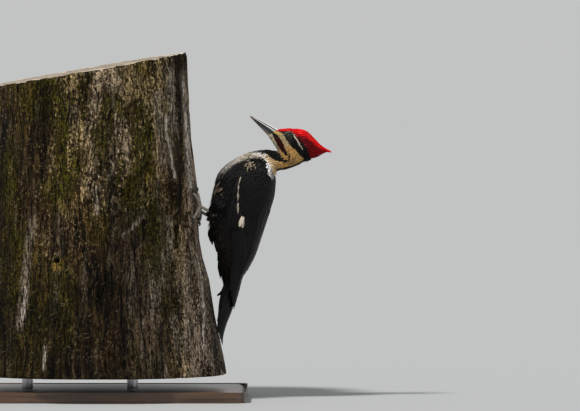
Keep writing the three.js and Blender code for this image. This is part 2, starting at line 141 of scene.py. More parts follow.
class Form:
    """A rounded surface as a grid of points: s runs from 0 to 1 along it and a from 0 to 1 round it."""

    def __init__(self, points):
        self.points = points
        self.along = np.gradient(points, axis=0) * (len(points) - 1)
        self.around = (np.roll(points, -1, 1) - np.roll(points, 1, 1)) * points.shape[1] / 2
        out = unit(np.cross(self.along, self.around))
        middle = points.mean(axis=1, keepdims=True)
        if ((points - middle) * out).sum() < 0:
            out = -out
        self.out = out

    def read(self, grid, s, a):
        rings, sides = grid.shape[:2]
        u, v = np.clip(s, 0, 1) * (rings - 1), np.mod(a, 1) * sides
        i, j = np.minimum(u.astype(int), rings - 2), v.astype(int) % sides
        fu, fv = (u - i)[..., None], (v - np.floor(v))[..., None]
        k = (j + 1) % sides
        low = grid[i, j] * (1 - fv) + grid[i, k] * fv
        high = grid[i + 1, j] * (1 - fv) + grid[i + 1, k] * fv
        return low * (1 - fu) + high * fu

    def at(self, s, a, lift=0.0):
        """The point at (s, a), lift metres out. Past either end the surface runs on straight."""
        over = (s - np.clip(s, 0, 1))[..., None]
        out = unit(self.read(self.out, s, a))
        on = self.read(self.points, s, a) + self.read(self.along, s, a) * over
        return on + out * np.asarray(lift)[..., None]

    def scale(self, s, a):
        """Metres for each unit of s and of a at (s, a)."""
        along = np.linalg.norm(self.read(self.along, s, a), axis=-1)
        around = np.linalg.norm(self.read(self.around, s, a), axis=-1)
        return np.maximum(along, 1e-4), np.maximum(around, 1e-4)

    def find(self, spots, side):
        """s and a of the places seen at (x, z) in side view, in millimetres, on one side of the bird."""
        rings, sides = self.points.shape[:2]
        p = self.points / MM
        hidden = np.where(p[..., 1] * side > 0, 0, FAR_OFF)
        nearest = [np.argmin((p[..., 0] - x) ** 2 + (p[..., 2] - z) ** 2 + hidden) for x, z in spots]
        i, j = np.unravel_index(nearest, (rings, sides))
        return i / (rings - 1), j / sides


def loft(sections, rings=220, sides=260):
    """A form through cross-sections: [front x, front z, back x, back z, half width, squareness, lean]."""
    rows = spline(sections, np.linspace(0, len(sections) - 1, rings))
    turn = np.linspace(0, 2 * np.pi, sides, endpoint=False)[None, :]
    power = 2 / rows[:, 5:6]
    cos = np.sign(np.cos(turn)) * np.abs(np.cos(turn)) ** power
    sin = np.sign(np.sin(turn)) * np.abs(np.sin(turn)) ** power
    front, back = rows[:, None, 0:2], rows[:, None, 2:4]
    along = (cos + rows[:, 6:7] * (1 - cos**2))[..., None]
    xz = (front + back) / 2 + (back - front) / 2 * along
    y = rows[:, 4:5] * sin
    return Form(np.stack([xz[..., 0], y, xz[..., 1]], axis=-1) * MM)


def limb(path, radii, rings=60, sides=40, flat=1.0, side=(0, 1, 0)):
    """A form round a path of points, in millimetres, with a radius at each. flat squeezes it across side."""
    q = np.linspace(0, len(path) - 1, rings)
    middle = spline(path, q)
    radius = spline(np.reshape(radii, (-1, 1)), q)
    ahead = unit(np.gradient(middle, axis=0))
    up = unit(np.cross(ahead, np.array(side, float)))
    wide = np.cross(up, ahead)
    turn = np.linspace(0, 2 * np.pi, sides, endpoint=False)[None, :, None]
    ring = np.cos(turn) * wide[:, None] * flat + np.sin(turn) * up[:, None]
    return Form((middle[:, None] + ring * radius[:, None]) * MM)


BODY = [
    # tips of the undertail coverts
    (230, 195, 246, 181, 9, 2, 0), (226, 212, 252, 190, 17, 2, 0), (225.5, 228, 262, 206, 25, 2.1, 0.05),
    # vent
    (221, 245, 272, 224, 31, 2.2, 0.05), (212.5, 262, 281, 244, 35, 2.2, 0.05),
    (210, 280, 287, 264, 38, 2.2, 0.05),
    # belly
    (211, 300, 294, 284, 40, 2.2, 0.05), (213.5, 323, 301, 303, 41, 2.2, 0.05),
    (217.5, 342, 306.5, 318, 41, 2.2, 0.05),
    # breast
    (223, 362, 311, 332, 40, 2.2, 0.05), (236, 377.5, 313, 345, 37, 2.2, 0),
    (254, 389.3, 314.5, 356, 31, 2.1, 0),
    # shoulders
    (275, 398.3, 316, 364.5, 24, 2.1, 0), (299.5, 402.4, 322, 368.4, 18, 2, 0),
    # neck
    (312, 401, 333, 370.2, 16.5, 2, 0), (318.6, 400.3, 345, 374, 17, 2, 0),
    # nape
    (319.3, 401.6, 357, 379.4, 18.5, 2.1, -0.05), (318.4, 403.8, 367, 388, 19.5, 2.2, -0.1),
    (316.8, 406.4, 370.5, 403, 20, 2.2, -0.12), (314, 411, 365, 420, 19.5, 2.2, -0.1),
    # eyes
    (311, 415.4, 354, 431.5, 18, 2.1, -0.05), (308, 420, 341, 436, 14.5, 2, 0),
    (305.2, 424.2, 329, 436.4, 10.6, 2, 0),
    # base of the bill
    (303.3, 427.2, 320, 435.2, 7.4, 2, 0),
]
CREST = [
    (354, 384, 330, 434, 10, 2, 0), (362, 383.2, 341, 436.7, 15, 2.1, 0),
    (367.5, 383.6, 352, 436.6, 16, 2.1, 0), (374, 386.6, 364, 433.8, 14, 2, 0),
    (380, 389, 373, 427.4, 11, 2, 0), (386, 392.6, 381.5, 418.4, 8, 2, 0),
    (392, 396.2, 389.5, 410.2, 5.2, 2, 0), (398.5, 398.6, 397.5, 404.5, 3, 2, 0),
    (405, 398.2, 404.6, 400.6, 1.1, 2, 0),
]
WING = [
    (275, 398.5, 318.5, 369, 30, 2.3, 0), (254, 389.6, 317.5, 356, 39.5, 2.3, 0.05),
    (236.5, 378, 316.5, 341, 44, 2.3, 0.08), (223.6, 364.5, 314.6, 326, 46.5, 2.3, 0.1),
    (218, 342, 309.6, 309, 47.5, 2.3, 0.12), (214, 325, 303.8, 292, 47, 2.3, 0.14),
    (211, 298, 297, 271, 45, 2.2, 0.16), (210, 277, 290.6, 251, 42, 2.2, 0.18),
    (213, 256, 282.5, 229, 38, 2.2, 0.2), (219, 240, 272.5, 210, 33.5, 2.2, 0.2),
    (221, 222, 264, 194, 29.5, 2.2, 0.2), (222, 202, 258.4, 172, 26, 2.2, 0.2),
    (221, 180, 253.4, 152, 23, 2.2, 0.2), (219, 165, 250.5, 140, 21, 2.2, 0.2),
]
# The folded wing seen from the side, as far down as its coverts reach.
WING_OUTLINE = [
    (260, 357), (264, 370), (274, 380.5), (288, 385.6), (299, 384), (309, 375.5), (316, 362), (330, 340),
    (322, 290), (300, 232), (277, 200), (262.4, 191.5), (266, 170), (253.5, 149.6), (246, 156), (245, 178),
    (247.5, 208), (251, 240), (254.5, 275), (256.5, 310), (257.5, 336),
]
EYE = (339.6, 13.9, 422.0)
EYE_RADIUS = 4.9
LIDS = 4.9  # how far from the eye's centre its lids reach over the face

body, crest, wing = loft(BODY), loft(CREST, 120, 200), loft(WING)

# ---- Markings ------------------------------------------------------------------------------------

BLACK = np.array([0.0046, 0.0043, 0.0048])
BROWN_BLACK = np.array([0.0135, 0.0105, 0.0082])
WHITE = np.array([0.66, 0.58, 0.46])
CREAM = np.array([0.66, 0.46, 0.22])
BUFF = np.array([0.60, 0.31, 0.075])
SCARLET = np.array([0.90, 0.005, 0.008])
# red in painted shade, for the crown's edges and the crest's lower part, folds and gaps
RED_IN_SHADE = np.array([0.15, 0.003, 0.007])
MALAR = np.array([0.040, 0.0026, 0.0033])
OLIVE_CREAM = np.array([0.46, 0.38, 0.23])
PALE_CREAM = np.array([0.66, 0.58, 0.44])
BARE_SKIN = np.array([0.05, 0.055, 0.06])
BROW_GREY = np.array([0.20, 0.20, 0.15])
# red with painted glints, for a few feathers along the crest's top
RED_GLINT = np.array([0.86, 0.16, 0.10])
BRISTLE = np.array([0.60, 0.40, 0.12])
FLANK_TIP = np.array([0.42, 0.33, 0.24])
WISP_TIP = np.array([0.36, 0.28, 0.20])
THIGH_TIP = np.array([0.34, 0.27, 0.20])
PLUME = np.array([0.56, 0.40, 0.28])
SHOULDER_PLUME = np.array([0.50, 0.40, 0.27])
SHOULDER_SPOT = np.array([0.45, 0.36, 0.24])
# painted highlights: silvery glare on the black shoulder, and the neck stripe's white brightened with glare
PAINTED_SHEEN = np.array([0.46, 0.42, 0.385])
STRIPE_WHITE_AND_GLARE = np.array([0.95, 0.93, 0.91])
EDGE_BLUR = 0.5  # half the width of a sharp edge between two colours

RED_EDGE = [
    (314.3, 434.2), (320.8, 432.5), (333.7, 432.2), (340.2, 431.7), (346.7, 428.5), (351.5, 422.8),
    (356.4, 414.7), (361.3, 406.6), (364.5, 400.1), (366.9, 392), (371.8, 384.8), (377.5, 375.8),
]
EYE_BAND_EDGE = [
    (314.3, 433.4), (322.4, 431.7), (325.6, 430.4), (328.9, 427.7), (333.7, 419.6), (338.6, 411.5),
    (345.1, 404.2), (351.5, 398.5), (358, 392), (364.5, 384.8), (371, 378.3),
]
BROW_LINE = [(345.2, 427.6), (347.6, 423.6), (350.6, 419.1), (357.2, 408.9), (362.6, 401.2)]
BROW_ARC = [(331.4, 427.2), (334.5, 430.0), (338.8, 431.0), (342.6, 430.4), (345.6, 428.2)]
MALAR_LINE = [(313.5, 427.8), (317.0, 423.4), (320.9, 417.4), (325.0, 409.5), (329.2, 401.6), (333.4, 395.0)]
MALAR_SPOTS = [(333, 394), (338, 389), (341.8, 384)]
CREST_CREASE = [
    (340, 431), (353.2, 422.8), (364.5, 418), (374.2, 411.5), (380.7, 406.6), (390.4, 399.3), (397, 396),
]
FORENECK = [
    (270, 398), (284, 401.5), (297.4, 400.2), (303, 394.8), (313.6, 386.9), (325, 382.1), (333.5, 380.2),
    (337, 383), (331, 387), (326.5, 392), (323, 397), (319, 400.5), (315, 404), (270, 412),
]
COLLAR_STRIPE = [(285, 398), (290, 396.6), (297, 392.6), (303, 385.6), (307.6, 375.8), (310.2, 363)]
SHOULDER_SHEEN = [
    (228, 369), (239.8, 379.1), (252.7, 386.5), (268.9, 393), (285.1, 395.5), (296.5, 393), (306.2, 386),
    (311.9, 375.8), (313, 362.9),
]
WING_EDGE = [
    (263.2, 359.6), (260, 351.5), (258.7, 343.4), (257.3, 336.2), (258.4, 330.5), (257.6, 320.8),
    (258.1, 311), (256.8, 299.7),
]


def paint(over, under, share):
    share = np.asarray(share, float)[..., None]
    return under * (1 - share) + over * share


def head_and_neck(p, x, y, z):
    """Colours forward of the shoulders, from the bill's base back."""
    over = lambda value: smooth(-EDGE_BLUR, EDGE_BLUR, value)
    # buff, cream and olive
    face = paint(BUFF, CREAM, 0.35 + 0.65 * cloud(p * 160, 3))
    face = paint((WHITE + CREAM) / 2, face, 0.8 * smooth(326, 306, x) * smooth(396, 384, z))
    cheek = z - 2.0 * (x - 330)  # falls from the lores towards the neck
    face = paint(OLIVE_CREAM, face, 0.75 * smooth(372, 404, cheek) * smooth(400, 410, z))
    chin = smooth(0, -4, x - np.interp(z, [392, 424], [330, 314])) * smooth(396, 404, z)
    face = paint(PALE_CREAM, face, 0.8 * chin * smooth(0.3, 0.5, noise(p * 420, 11)))
    # the moustache stripe and the spots that trail from it
    away, t = to_path(MALAR_LINE, x, z)
    maroon = paint(BLACK, MALAR, smooth(0.3, 0.08, t) + smooth(0.8, 0.95, t))
    wide = np.interp(t, [0, 0.15, 0.5, 1], [2.6, 4.2, 5.0, 2.6])
    face = paint(maroon, face, smooth(EDGE_BLUR, -EDGE_BLUR, away - wide))
    away, _ = to_path(MALAR_SPOTS, x, z)
    face = paint(BLACK, face, smooth(0.46, 0.56, noise(p * 380, 5)) * smooth(7.5, 3.5, away))
    # black foreneck and eye band, white brow
    face = paint(BLACK, face, inside(FORENECK, x, z))
    face = paint(BLACK, face, over(z - np.interp(x, *zip(*EYE_BAND_EDGE))) * (x > 316))
    away, t = to_path(BROW_LINE, x, z)
    face = paint(WHITE * 1.15, face, smooth(0.5, -0.3, away - np.interp(t, [0, 0.5, 1], [0.6, 1.1, 0.7])))
    away, _ = to_path(BROW_ARC, x, z)
    face = paint(BROW_GREY, face, smooth(1.3, 0.5, away))
    # red crown, bright near its top and darkened away from it with painted shade, and black nape
    red = paint(RED_IN_SHADE, SCARLET, smooth(4, 12, np.hypot(x - 336, z - 442) - 17))
    face = paint(red, face, over(z - np.interp(x, *zip(*RED_EDGE))) * (x > 314))
    nape = smooth(10.5, 8.5, np.abs(y)) * (x > 318) * smooth(404, 396, z) * (x - 318 > (z - 373) * 0.9)
    return paint(BLACK, face, nape)


def shoulder_sheen(p, x, y, z):
    """The pale band that runs over the shoulder to the front of the wing, a painted highlight of glare on the
    black feathers, and the white neck stripe beside it, brightened with painted glare: its colour and its
    share.
    """
    # painted highlight: silvery at the ends of the band and white in its middle
    away, t = to_path(SHOULDER_SHEEN, x, z)
    tone = paint(WHITE * 0.95, PAINTED_SHEEN, smooth(0.22, 0.45, t) * smooth(1.0, 0.9, t))
    wide = np.interp(t, [0, 0.3, 0.55, 0.7, 0.85, 1], [9, 8, 7.5, 6, 3.6, 2.6])
    share = smooth(1.0, 0.25, away / wide) * smooth(0.28, 0.55, cloud(p * [260, 260, 130], 4) + 0.12)
    share = 0.92 * share * np.maximum(smooth(300, 285, x), smooth(13, 20, np.abs(y)))
    # the white neck stripe, brighter than the other whites with painted glare
    away, t = to_path(COLLAR_STRIPE, x, z)
    wide = np.interp(t, [0, 0.25, 0.6, 1], [3.2, 4.4, 2.6, 0.8])
    white = smooth(1.15, 0.75, away / wide) * smooth(10, 14, np.abs(y))
    return paint(STRIPE_WHITE_AND_GLARE, tone, white), np.maximum(share, white)


def markings(p):
    """The plumage's colour at points in metres: the skin and every feather take theirs from here."""
    x, y, z = np.moveaxis(p / MM, -1, 0)
    ragged = (cloud(p * 330, 9, 2) - 0.5) * 1.6
    x, z = x + ragged, z - ragged * 0.6
    coat = paint(BROWN_BLACK, BLACK, smooth(300, 230, z) * 0.7)
    # painted highlight of glare over the shoulder
    tone, share = shoulder_sheen(p, x, y, z)
    coat = paint(tone, coat, share)
    ahead = smooth(-1, 1, (x - 305.5) * 0.92 + (z - 386.5) * 0.38)
    return paint(head_and_neck(p, x, y, z), coat, ahead)


BILL_TIP = (275.4, 456.3)
BILL_FALL = math.radians(36.9)
BILL_LENGTH = 57.0


def along_bill(x, z):
    """How far from the bill's tip, and how high above its meeting line, a place in side view is."""
    dx, dz, cos, sin = x - BILL_TIP[0], z - BILL_TIP[1], math.cos(BILL_FALL), math.sin(BILL_FALL)
    return dx * cos - dz * sin, dx * sin + dz * cos


# ---- Making pieces -------------------------------------------------------------------------------


def mesh_of(name, points, faces, corners=3):
    """An object from arrays of points, in metres, and of faces with the same number of corners."""
    mesh = bpy.data.meshes.new(name)
    mesh.vertices.add(len(points))
    mesh.vertices.foreach_set("co", np.ascontiguousarray(points, np.float32).ravel())
    mesh.loops.add(faces.size)
    mesh.loops.foreach_set("vertex_index", np.ascontiguousarray(faces, np.int32).ravel())
    mesh.polygons.add(len(faces))
    mesh.polygons.foreach_set("loop_start", np.arange(0, faces.size, corners, dtype=np.int32))
    mesh.polygons.foreach_set("loop_total", np.full(len(faces), corners, np.int32))
    mesh.polygons.foreach_set("use_smooth", np.ones(len(faces), bool))
    mesh.update(calc_edges=True)
    piece = bpy.data.objects.new(name, mesh)
    SCENE.collection.objects.link(piece)
    return piece


def colour(piece, name, values):
    """Stores a colour for each vertex."""
    rgba = np.ones((len(values), 4), np.float32)
    rgba[:, :3] = np.clip(values, 0, 1)
    layer = piece.data.attributes.new(name, "FLOAT_COLOR", "POINT")
    layer.data.foreach_set("color", rgba.ravel())


def vector(piece, name, values):
    """Stores three numbers for each vertex."""
    layer = piece.data.attributes.new(name, "FLOAT_VECTOR", "POINT")
    layer.data.foreach_set("vector", np.ascontiguousarray(values, np.float32).ravel())


def patches(piece, places):
    """The map that the coat's colours are baked on."""
    layer = piece.data.uv_layers.new(name="OFBake")
    corner = np.empty(len(piece.data.loops), np.int32)
    piece.data.loops.foreach_get("vertex_index", corner)
    layer.data.foreach_set("uv", np.ascontiguousarray(places[corner], np.float32).ravel())


def belongs(piece, finish, slot, *nodes):
    """Gives a finished piece its finish, and its place in the frame."""
    piece.data.materials.clear()
    piece.data.materials.append(finish)
    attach(piece, "root")
    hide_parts(*nodes)
    return piece


def surface_faces(rings, sides):
    """Quads over a grid of points, as closed rings of sides."""
    i, j = np.meshgrid(np.arange(rings - 1), np.arange(sides), indexing="ij")
    a, b = i * sides + j, i * sides + (j + 1) % sides
    return np.stack([a, b, b + sides, a + sides], axis=-1).reshape(-1, 4)


def look_inwards(points, faces):
    """Whether the triangles of a closed mesh look inwards."""
    a, b, c = (points[faces[:, corner]] - points[faces[0, 0]] for corner in range(3))
    return (a * np.cross(b, c)).sum() < 0


def shell(name, points):
    """A closed piece over a grid of points, shut at both ends."""
    rings, sides = points.shape[:2]
    quads = surface_faces(rings, sides)
    faces = np.concatenate([quads[:, [0, 1, 2]], quads[:, [0, 2, 3]]])
    flat = np.concatenate([points.reshape(-1, 3), points[[0, -1]].mean(axis=1)])
    k = np.arange(sides)
    near = np.stack([np.full(sides, rings * sides), (k + 1) % sides, k], axis=-1)
    last = (rings - 1) * sides
    far = np.stack([np.full(sides, rings * sides + 1), last + k, last + (k + 1) % sides], axis=-1)
    faces = np.concatenate([faces, near, far])
    return mesh_of(name, flat, faces[:, ::-1] if look_inwards(flat, faces) else faces)


def choose(*pieces):
    """Selects these objects alone, the first of them as the active one."""
    bpy.ops.object.select_all(action="DESELECT")
    for piece in pieces:
        piece.select_set(True)
    bpy.context.view_layer.objects.active = pieces[0]


def joined(name, pieces):
    """Several objects as one."""
    choose(*pieces)
    bpy.ops.object.join()
    whole = bpy.context.view_layer.objects.active
    whole.name = whole.data.name = name
    whole.select_set(False)
    return whole


def apply(piece, kind, **settings):
    """Adds a modifier and makes it part of the mesh."""
    choose(piece)
    modifier = piece.modifiers.new(kind.lower(), kind)
    for key, value in settings.items():
        setattr(modifier, key, value)
    bpy.ops.object.modifier_apply(modifier=modifier.name)
    return piece


def points_of(piece):
    flat = np.empty(len(piece.data.vertices) * 3, np.float32)
    piece.data.vertices.foreach_get("co", flat)
    return flat.reshape(-1, 3).astype(float)


# ---- Finishes ------------------------------------------------------------------------------------


class Finish:
    """A material put together from nodes."""

    def __init__(self, name, **settings):
        self.material = bpy.data.materials.new(name)
        self.material.use_nodes = True
        self.tree = self.material.node_tree
        self.shader = self.tree.nodes["Principled BSDF"]
        for key, value in settings.items():
            self.shader.inputs[key.replace("_", " ")].default_value = value

    def node(self, kind, inputs=(), **settings):
        made = self.tree.nodes.new("ShaderNode" + kind)
        for key, value in settings.items():
            setattr(made, key, value)
        for key, value in dict(inputs).items():
            if isinstance(value, bpy.types.NodeSocket):
                self.tree.links.new(value, made.inputs[key])
            else:
                made.inputs[key].default_value = value
        return made

    def attribute(self, name, kind="Color"):
        return self.node("Attribute", attribute_name=name).outputs[kind]

    def place(self, scale=(1, 1, 1), shift=None):
        """Object coordinates, scaled and shifted."""
        source = self.node("TexCoord").outputs["Object"]
        if shift is not None:
            source = self.node("VectorMath", {0: source, 1: shift}, operation="ADD").outputs[0]
        return self.node("Mapping", {"Vector": source, "Scale": scale}).outputs[0]

    def noise(self, vector, scale, detail=3, roughness=0.55):
        inputs = {"Vector": vector, "Scale": scale, "Detail": detail, "Roughness": roughness}
        return self.node("TexNoise", inputs).outputs["Fac"]

    def sums(self, operation, a, b=0.0, clamp=False):
        return self.node("Math", {0: a, 1: b}, operation=operation, use_clamp=clamp).outputs[0]

    def plus(self, a, b):
        return self.sums("ADD", a, b)

    def less(self, a, b):
        return self.sums("SUBTRACT", a, b)

    def times(self, a, b):
        return self.sums("MULTIPLY", a, b)

    def line(self, value, slope, base):
        """slope times a value, and base more."""
        return self.plus(self.times(value, slope), base)

    def far(self, a, b):
        """The length of (a, b)."""
        return self.sums("SQRT", self.plus(self.times(a, a), self.times(b, b)))

    def band(self, value, low, high):
        """0 below low, 1 above high."""
        settings = {"Value": value, "From Min": low, "From Max": high}
        return self.node("MapRange", settings, interpolation_type="SMOOTHSTEP").outputs[0]

    def blend(self, share, a, b, mode="MIX"):
        made = self.node("Mix", data_type="RGBA", blend_type=mode)
        for key, value in ((0, share), (6, a), (7, b)):
            if isinstance(value, bpy.types.NodeSocket):
                self.tree.links.new(value, made.inputs[key])
            elif key:
                made.inputs[key].default_value = (*value, 1)
            else:
                made.inputs[key].default_value = value
        return made.outputs[2]

    def tinted(self, a, b):
        """Two colours multiplied."""
        return self.blend(1.0, a, b, "MULTIPLY")

    def bump(self, height, strength, distance, under=None):
        inputs = {"Height": height, "Strength": strength, "Distance": distance}
        if under is not None:
            inputs["Normal"] = under
        return self.node("Bump", inputs).outputs[0]

    def use(self, **sockets):
        for key, value in sockets.items():
            self.tree.links.new(value, self.shader.inputs[key.replace("_", " ")])
        return self.material


def feather_finish(name, roughness, sheen, pitch, gloss, relief):
    """Plumage in the coat's own colours, with barbs that slant from each shaft, pitch millimetres apart."""
    f = Finish(
        name,
        Roughness=roughness,
        Specular_IOR_Level=gloss,
        Sheen_Weight=sheen,
        Sheen_Roughness=0.35,
        Sheen_Tint=(1, 0.97, 0.95, 1),
    )
    across, along, pick = f.node("SeparateXYZ", {0: f.attribute("vane", "Vector")}).outputs
    slant = f.less(along, f.times(f.sums("ABSOLUTE", across), 1.1))
    waver = f.times(f.noise(f.place(), 260, 2), 2.0)
    wave = f.sums("SINE", f.times(f.plus(slant, waver), 2 * math.pi / pitch))
    fine = f.noise(f.place(), 1100, 3)
    tone = f.band(f.line(wave, 0.14, fine), 0.1, 0.95)
    shade = f.blend(tone, (0.55, 0.55, 0.55), (1.3, 1.3, 1.3))
    own = f.blend(f.times(pick, 0.3), (1, 1, 1), (0.7, 0.7, 0.72))
    base = f.tinted(f.tinted(f.attribute("coat"), shade), own)
    return f.use(Base_Color=base, Normal=f.bump(f.line(wave, 0.35, fine), relief, 0.0002))


# ---- Feathers ------------------------------------------------------------------------------------

# Kinds of feather: shares of its length, and its half width there as a share of its widest.
STEPS = np.array([0.10, 0.28, 0.50, 0.72, 0.88, 0.96])
ROUND = STEPS, np.array([0.50, 0.88, 1.00, 0.93, 0.66, 0.38])
BLUNT = STEPS, ROUND[1] * [1, 1, 1, 0.93, 0.78, 0.6]
POINTED = STEPS, np.array([0.60, 0.95, 1.00, 0.72, 0.36, 0.15])
SLIM = np.array([0.2, 0.55, 0.85]), np.array([0.8, 1.0, 0.5])
PATCH = 0.003  # a feather's patch on the coat's map
TRIES = 7  # places tried for each feather wanted


def vane_faces(stations):
    """Triangles of one closed vane: a root, rings of left, top, right and under, and a tip."""
    faces = []
    ring = lambda i: [1 + 4 * i + k for k in range(4)]
    for k in range(4):
        faces.append([0, ring(0)[(k + 1) % 4], ring(0)[k]])
        faces.append([1 + 4 * stations, ring(stations - 1)[k], ring(stations - 1)[(k + 1) % 4]])
        for i in range(stations - 1):
            a, b, c, d = ring(i)[k], ring(i)[(k + 1) % 4], ring(i + 1)[(k + 1) % 4], ring(i + 1)[k]
            faces += [[a, b, c], [a, c, d]]
    return np.array(faces)


class Coat:
    """A piece that grows many small feathers over a form."""

    def __init__(self, name):
        self.name, self.count = name, 0
        self.points, self.faces, self.tints, self.vanes, self.patches = [], [], [], [], []

    def grow(self, form, s, a, length, width, flow=-1, tilt=0.0, low=-1.6, high=0.0, kind=ROUND, tips=None,
             camber=0.09, thick=0.14, bend=0.0, tint=None, splay=0.0, twist=0.0):
        """Feathers rooted at (s, a), with sizes in millimetres. flow is the way along s that they lie. Each
        rises from low to high over the form. tilt turns it about its root, and twist about its own shaft."""
        steps, shares = kind
        n, rings = len(s), len(steps)
        full = lambda v: np.broadcast_to(np.asarray(v, float), (n,))
        length, width, tilt, low, high, bend, twist = map(full, (length, width, tilt, low, high, bend, twist))
        # each point's share of the length (u) and of the half width (v), and its side of the flat vane
        u = np.concatenate([[0], np.repeat(steps, 4), [1]])
        v = np.concatenate([[0], np.tile([-1, 0, 1, 0], rings), [0]])
        ridge = np.concatenate([[0], np.tile([0, 1, 0, -1], rings), [0]])
        half = np.concatenate([[0], np.repeat(shares, 4), [0]])
        rough = np.repeat(between(0.86, 1.12, (n, rings)), 4, axis=1)
        rough = np.pad(rough, ((0, 0), (1, 1)), constant_values=1)
        vane = v * half * rough * width[:, None] / 2
        # millimetres across, along and away from the form
        turned = twist[:, None] * smooth(0, 0.4, u)
        across = vane * np.cos(turned) + bend[:, None] * u**2 * length[:, None]
        along = u * length[:, None]
        rise = low[:, None] + (high - low)[:, None] * u**0.8 + splay * u**3 + vane * np.sin(turned)
        arch = np.where(ridge > 0, camber * width[:, None] * half, np.where(ridge < 0, -thick, 0))
        cos, sin = np.cos(tilt), np.sin(tilt)
        metre_s, metre_a = form.scale(s, a)
        ds = flow * (along * cos[:, None] - across * sin[:, None]) * MM / metre_s[:, None]
        da = (along * sin[:, None] + across * cos[:, None]) * MM / metre_a[:, None]
        places = form.at(s[:, None] + ds, a[:, None] + da, (rise + arch) * MM)
        # the colour of the form below the part of the feather that shows
        seen = 0.6 * length * MM
        own = markings(form.at(s + flow * seen * cos / metre_s, a + seen * sin / metre_a))
        own = own if tint is None else np.broadcast_to(tint, (n, 3))
        end = np.asarray(own if tips is None else tips)
        share = smooth(0.62, 0.95, u)[None, :, None]
        own = own * between(0.8, 1.2, (n, 1))
        # a random number for each feather, and its patch on the map
        pick = np.broadcast_to(chance.random((n, 1)), (n, len(u)))
        first = self.count + np.arange(n) * len(u)
        centre = np.stack([0.02 + 0.96 * np.mod(a, 1), 0.02 + 0.96 * np.clip(s, 0, 1)], -1)
        spread = np.stack([v, 2 * u - 1], -1) * PATCH / 2
        self.points.append(places.reshape(-1, 3))
        self.faces.append((vane_faces(rings)[None] + first[:, None, None]).reshape(-1, 3))
        self.tints.append((own[:, None] * (1 - share) + end[:, None] * share).reshape(-1, 3))
        self.vanes.append(np.stack([across, along, pick], -1).reshape(-1, 3))
        self.patches.append((centre[:, None] + spread[None]).reshape(-1, 2))
        self.count += n * len(u)

    def finish(self, finish, slot, *nodes):
        points, faces = np.concatenate(self.points), np.concatenate(self.faces)
        if look_inwards(points, self.faces[0]):
            faces = faces[:, ::-1]
        piece = mesh_of(self.name, points, faces)
        colour(piece, "coat", np.concatenate(self.tints))
        vector(piece, "vane", np.concatenate(self.vanes))
        patches(piece, np.concatenate(self.patches))
        return belongs(piece, finish, slot, *nodes)


def scatter(form, spacing, keep):
    """s, a and points of places spread evenly over a form where keep allows them, a spacing in millimetres
    apart."""
    rings, sides = form.points.shape[:2]
    s = (np.arange(rings) / (rings - 1))[:, None] * np.ones(sides)
    a = np.arange(sides)[None, :] / sides * np.ones((rings, 1))
    p = form.points / MM
    gap = spacing(p)
    # places are tried at random, in numbers that suit each cell's area and spacing
    cell = np.linalg.norm(np.cross(form.along, form.around), axis=-1) / MM**2 / (rings * sides)
    chances = np.where(keep(p), cell / gap**2, 0)
    total = int(chances.sum() * TRIES)
    pick = chance.choice(rings * sides, total, p=(chances / chances.sum()).ravel())
    s = np.clip(s.ravel()[pick] + between(-0.5, 0.5, total) / (rings - 1), 0, 1)
    a = a.ravel()[pick] + between(-0.5, 0.5, total) / sides
    places, gaps = form.at(s, a) / MM, gap.ravel()[pick]
    # a place is kept unless one nearer than its spacing has been kept already
    cells = np.floor(places / gaps.max()).astype(int)
    taken, chosen = {}, []
    near = [(i, j, k) for i in (-1, 0, 1) for j in (-1, 0, 1) for k in (-1, 0, 1)]
    for n, ((x, y, z), g, (i, j, k)) in enumerate(zip(places.tolist(), gaps.tolist(), cells.tolist())):
        crowded = any(
            (x - q[0]) ** 2 + (y - q[1]) ** 2 + (z - q[2]) ** 2 < g * g
            for di, dj, dk in near
            for q in taken.get((i + di, j + dj, k + dk), ())
        )
        if not crowded:
            taken.setdefault((i, j, k), []).append((x, y, z))
            chosen.append(n)
    return s[chosen], a[chosen], places[chosen]


# ---- Skin ----------------------------------------------------------------------------------------

PLUMAGE = feather_finish("plumage", 0.5, 0.02, 0.42, 0.12, 0.3)
CREST_FEATHER = feather_finish("crest_feather", 0.45, 0.01, 0.35, 0.10, 0.3)
FLIGHT_FEATHER = feather_finish("flight_feather", 0.42, 0.015, 0.6, 0.14, 0.25)

FLESH = ["torso", "neck", "head", "crest", "thigh_left", "thigh_right"]
UNDER_WINGS = ["wing_left_coverts", "wing_right_coverts"]
VOXEL = 0.00125
# How deep the skin lies on the head, elsewhere and below the crest, and how much deeper beside the bill.
HEAD_DEPTH, BODY_DEPTH, CREST_DEPTH, BILL_DEPTH = 1.0, 2.3, 2.0, 1.8


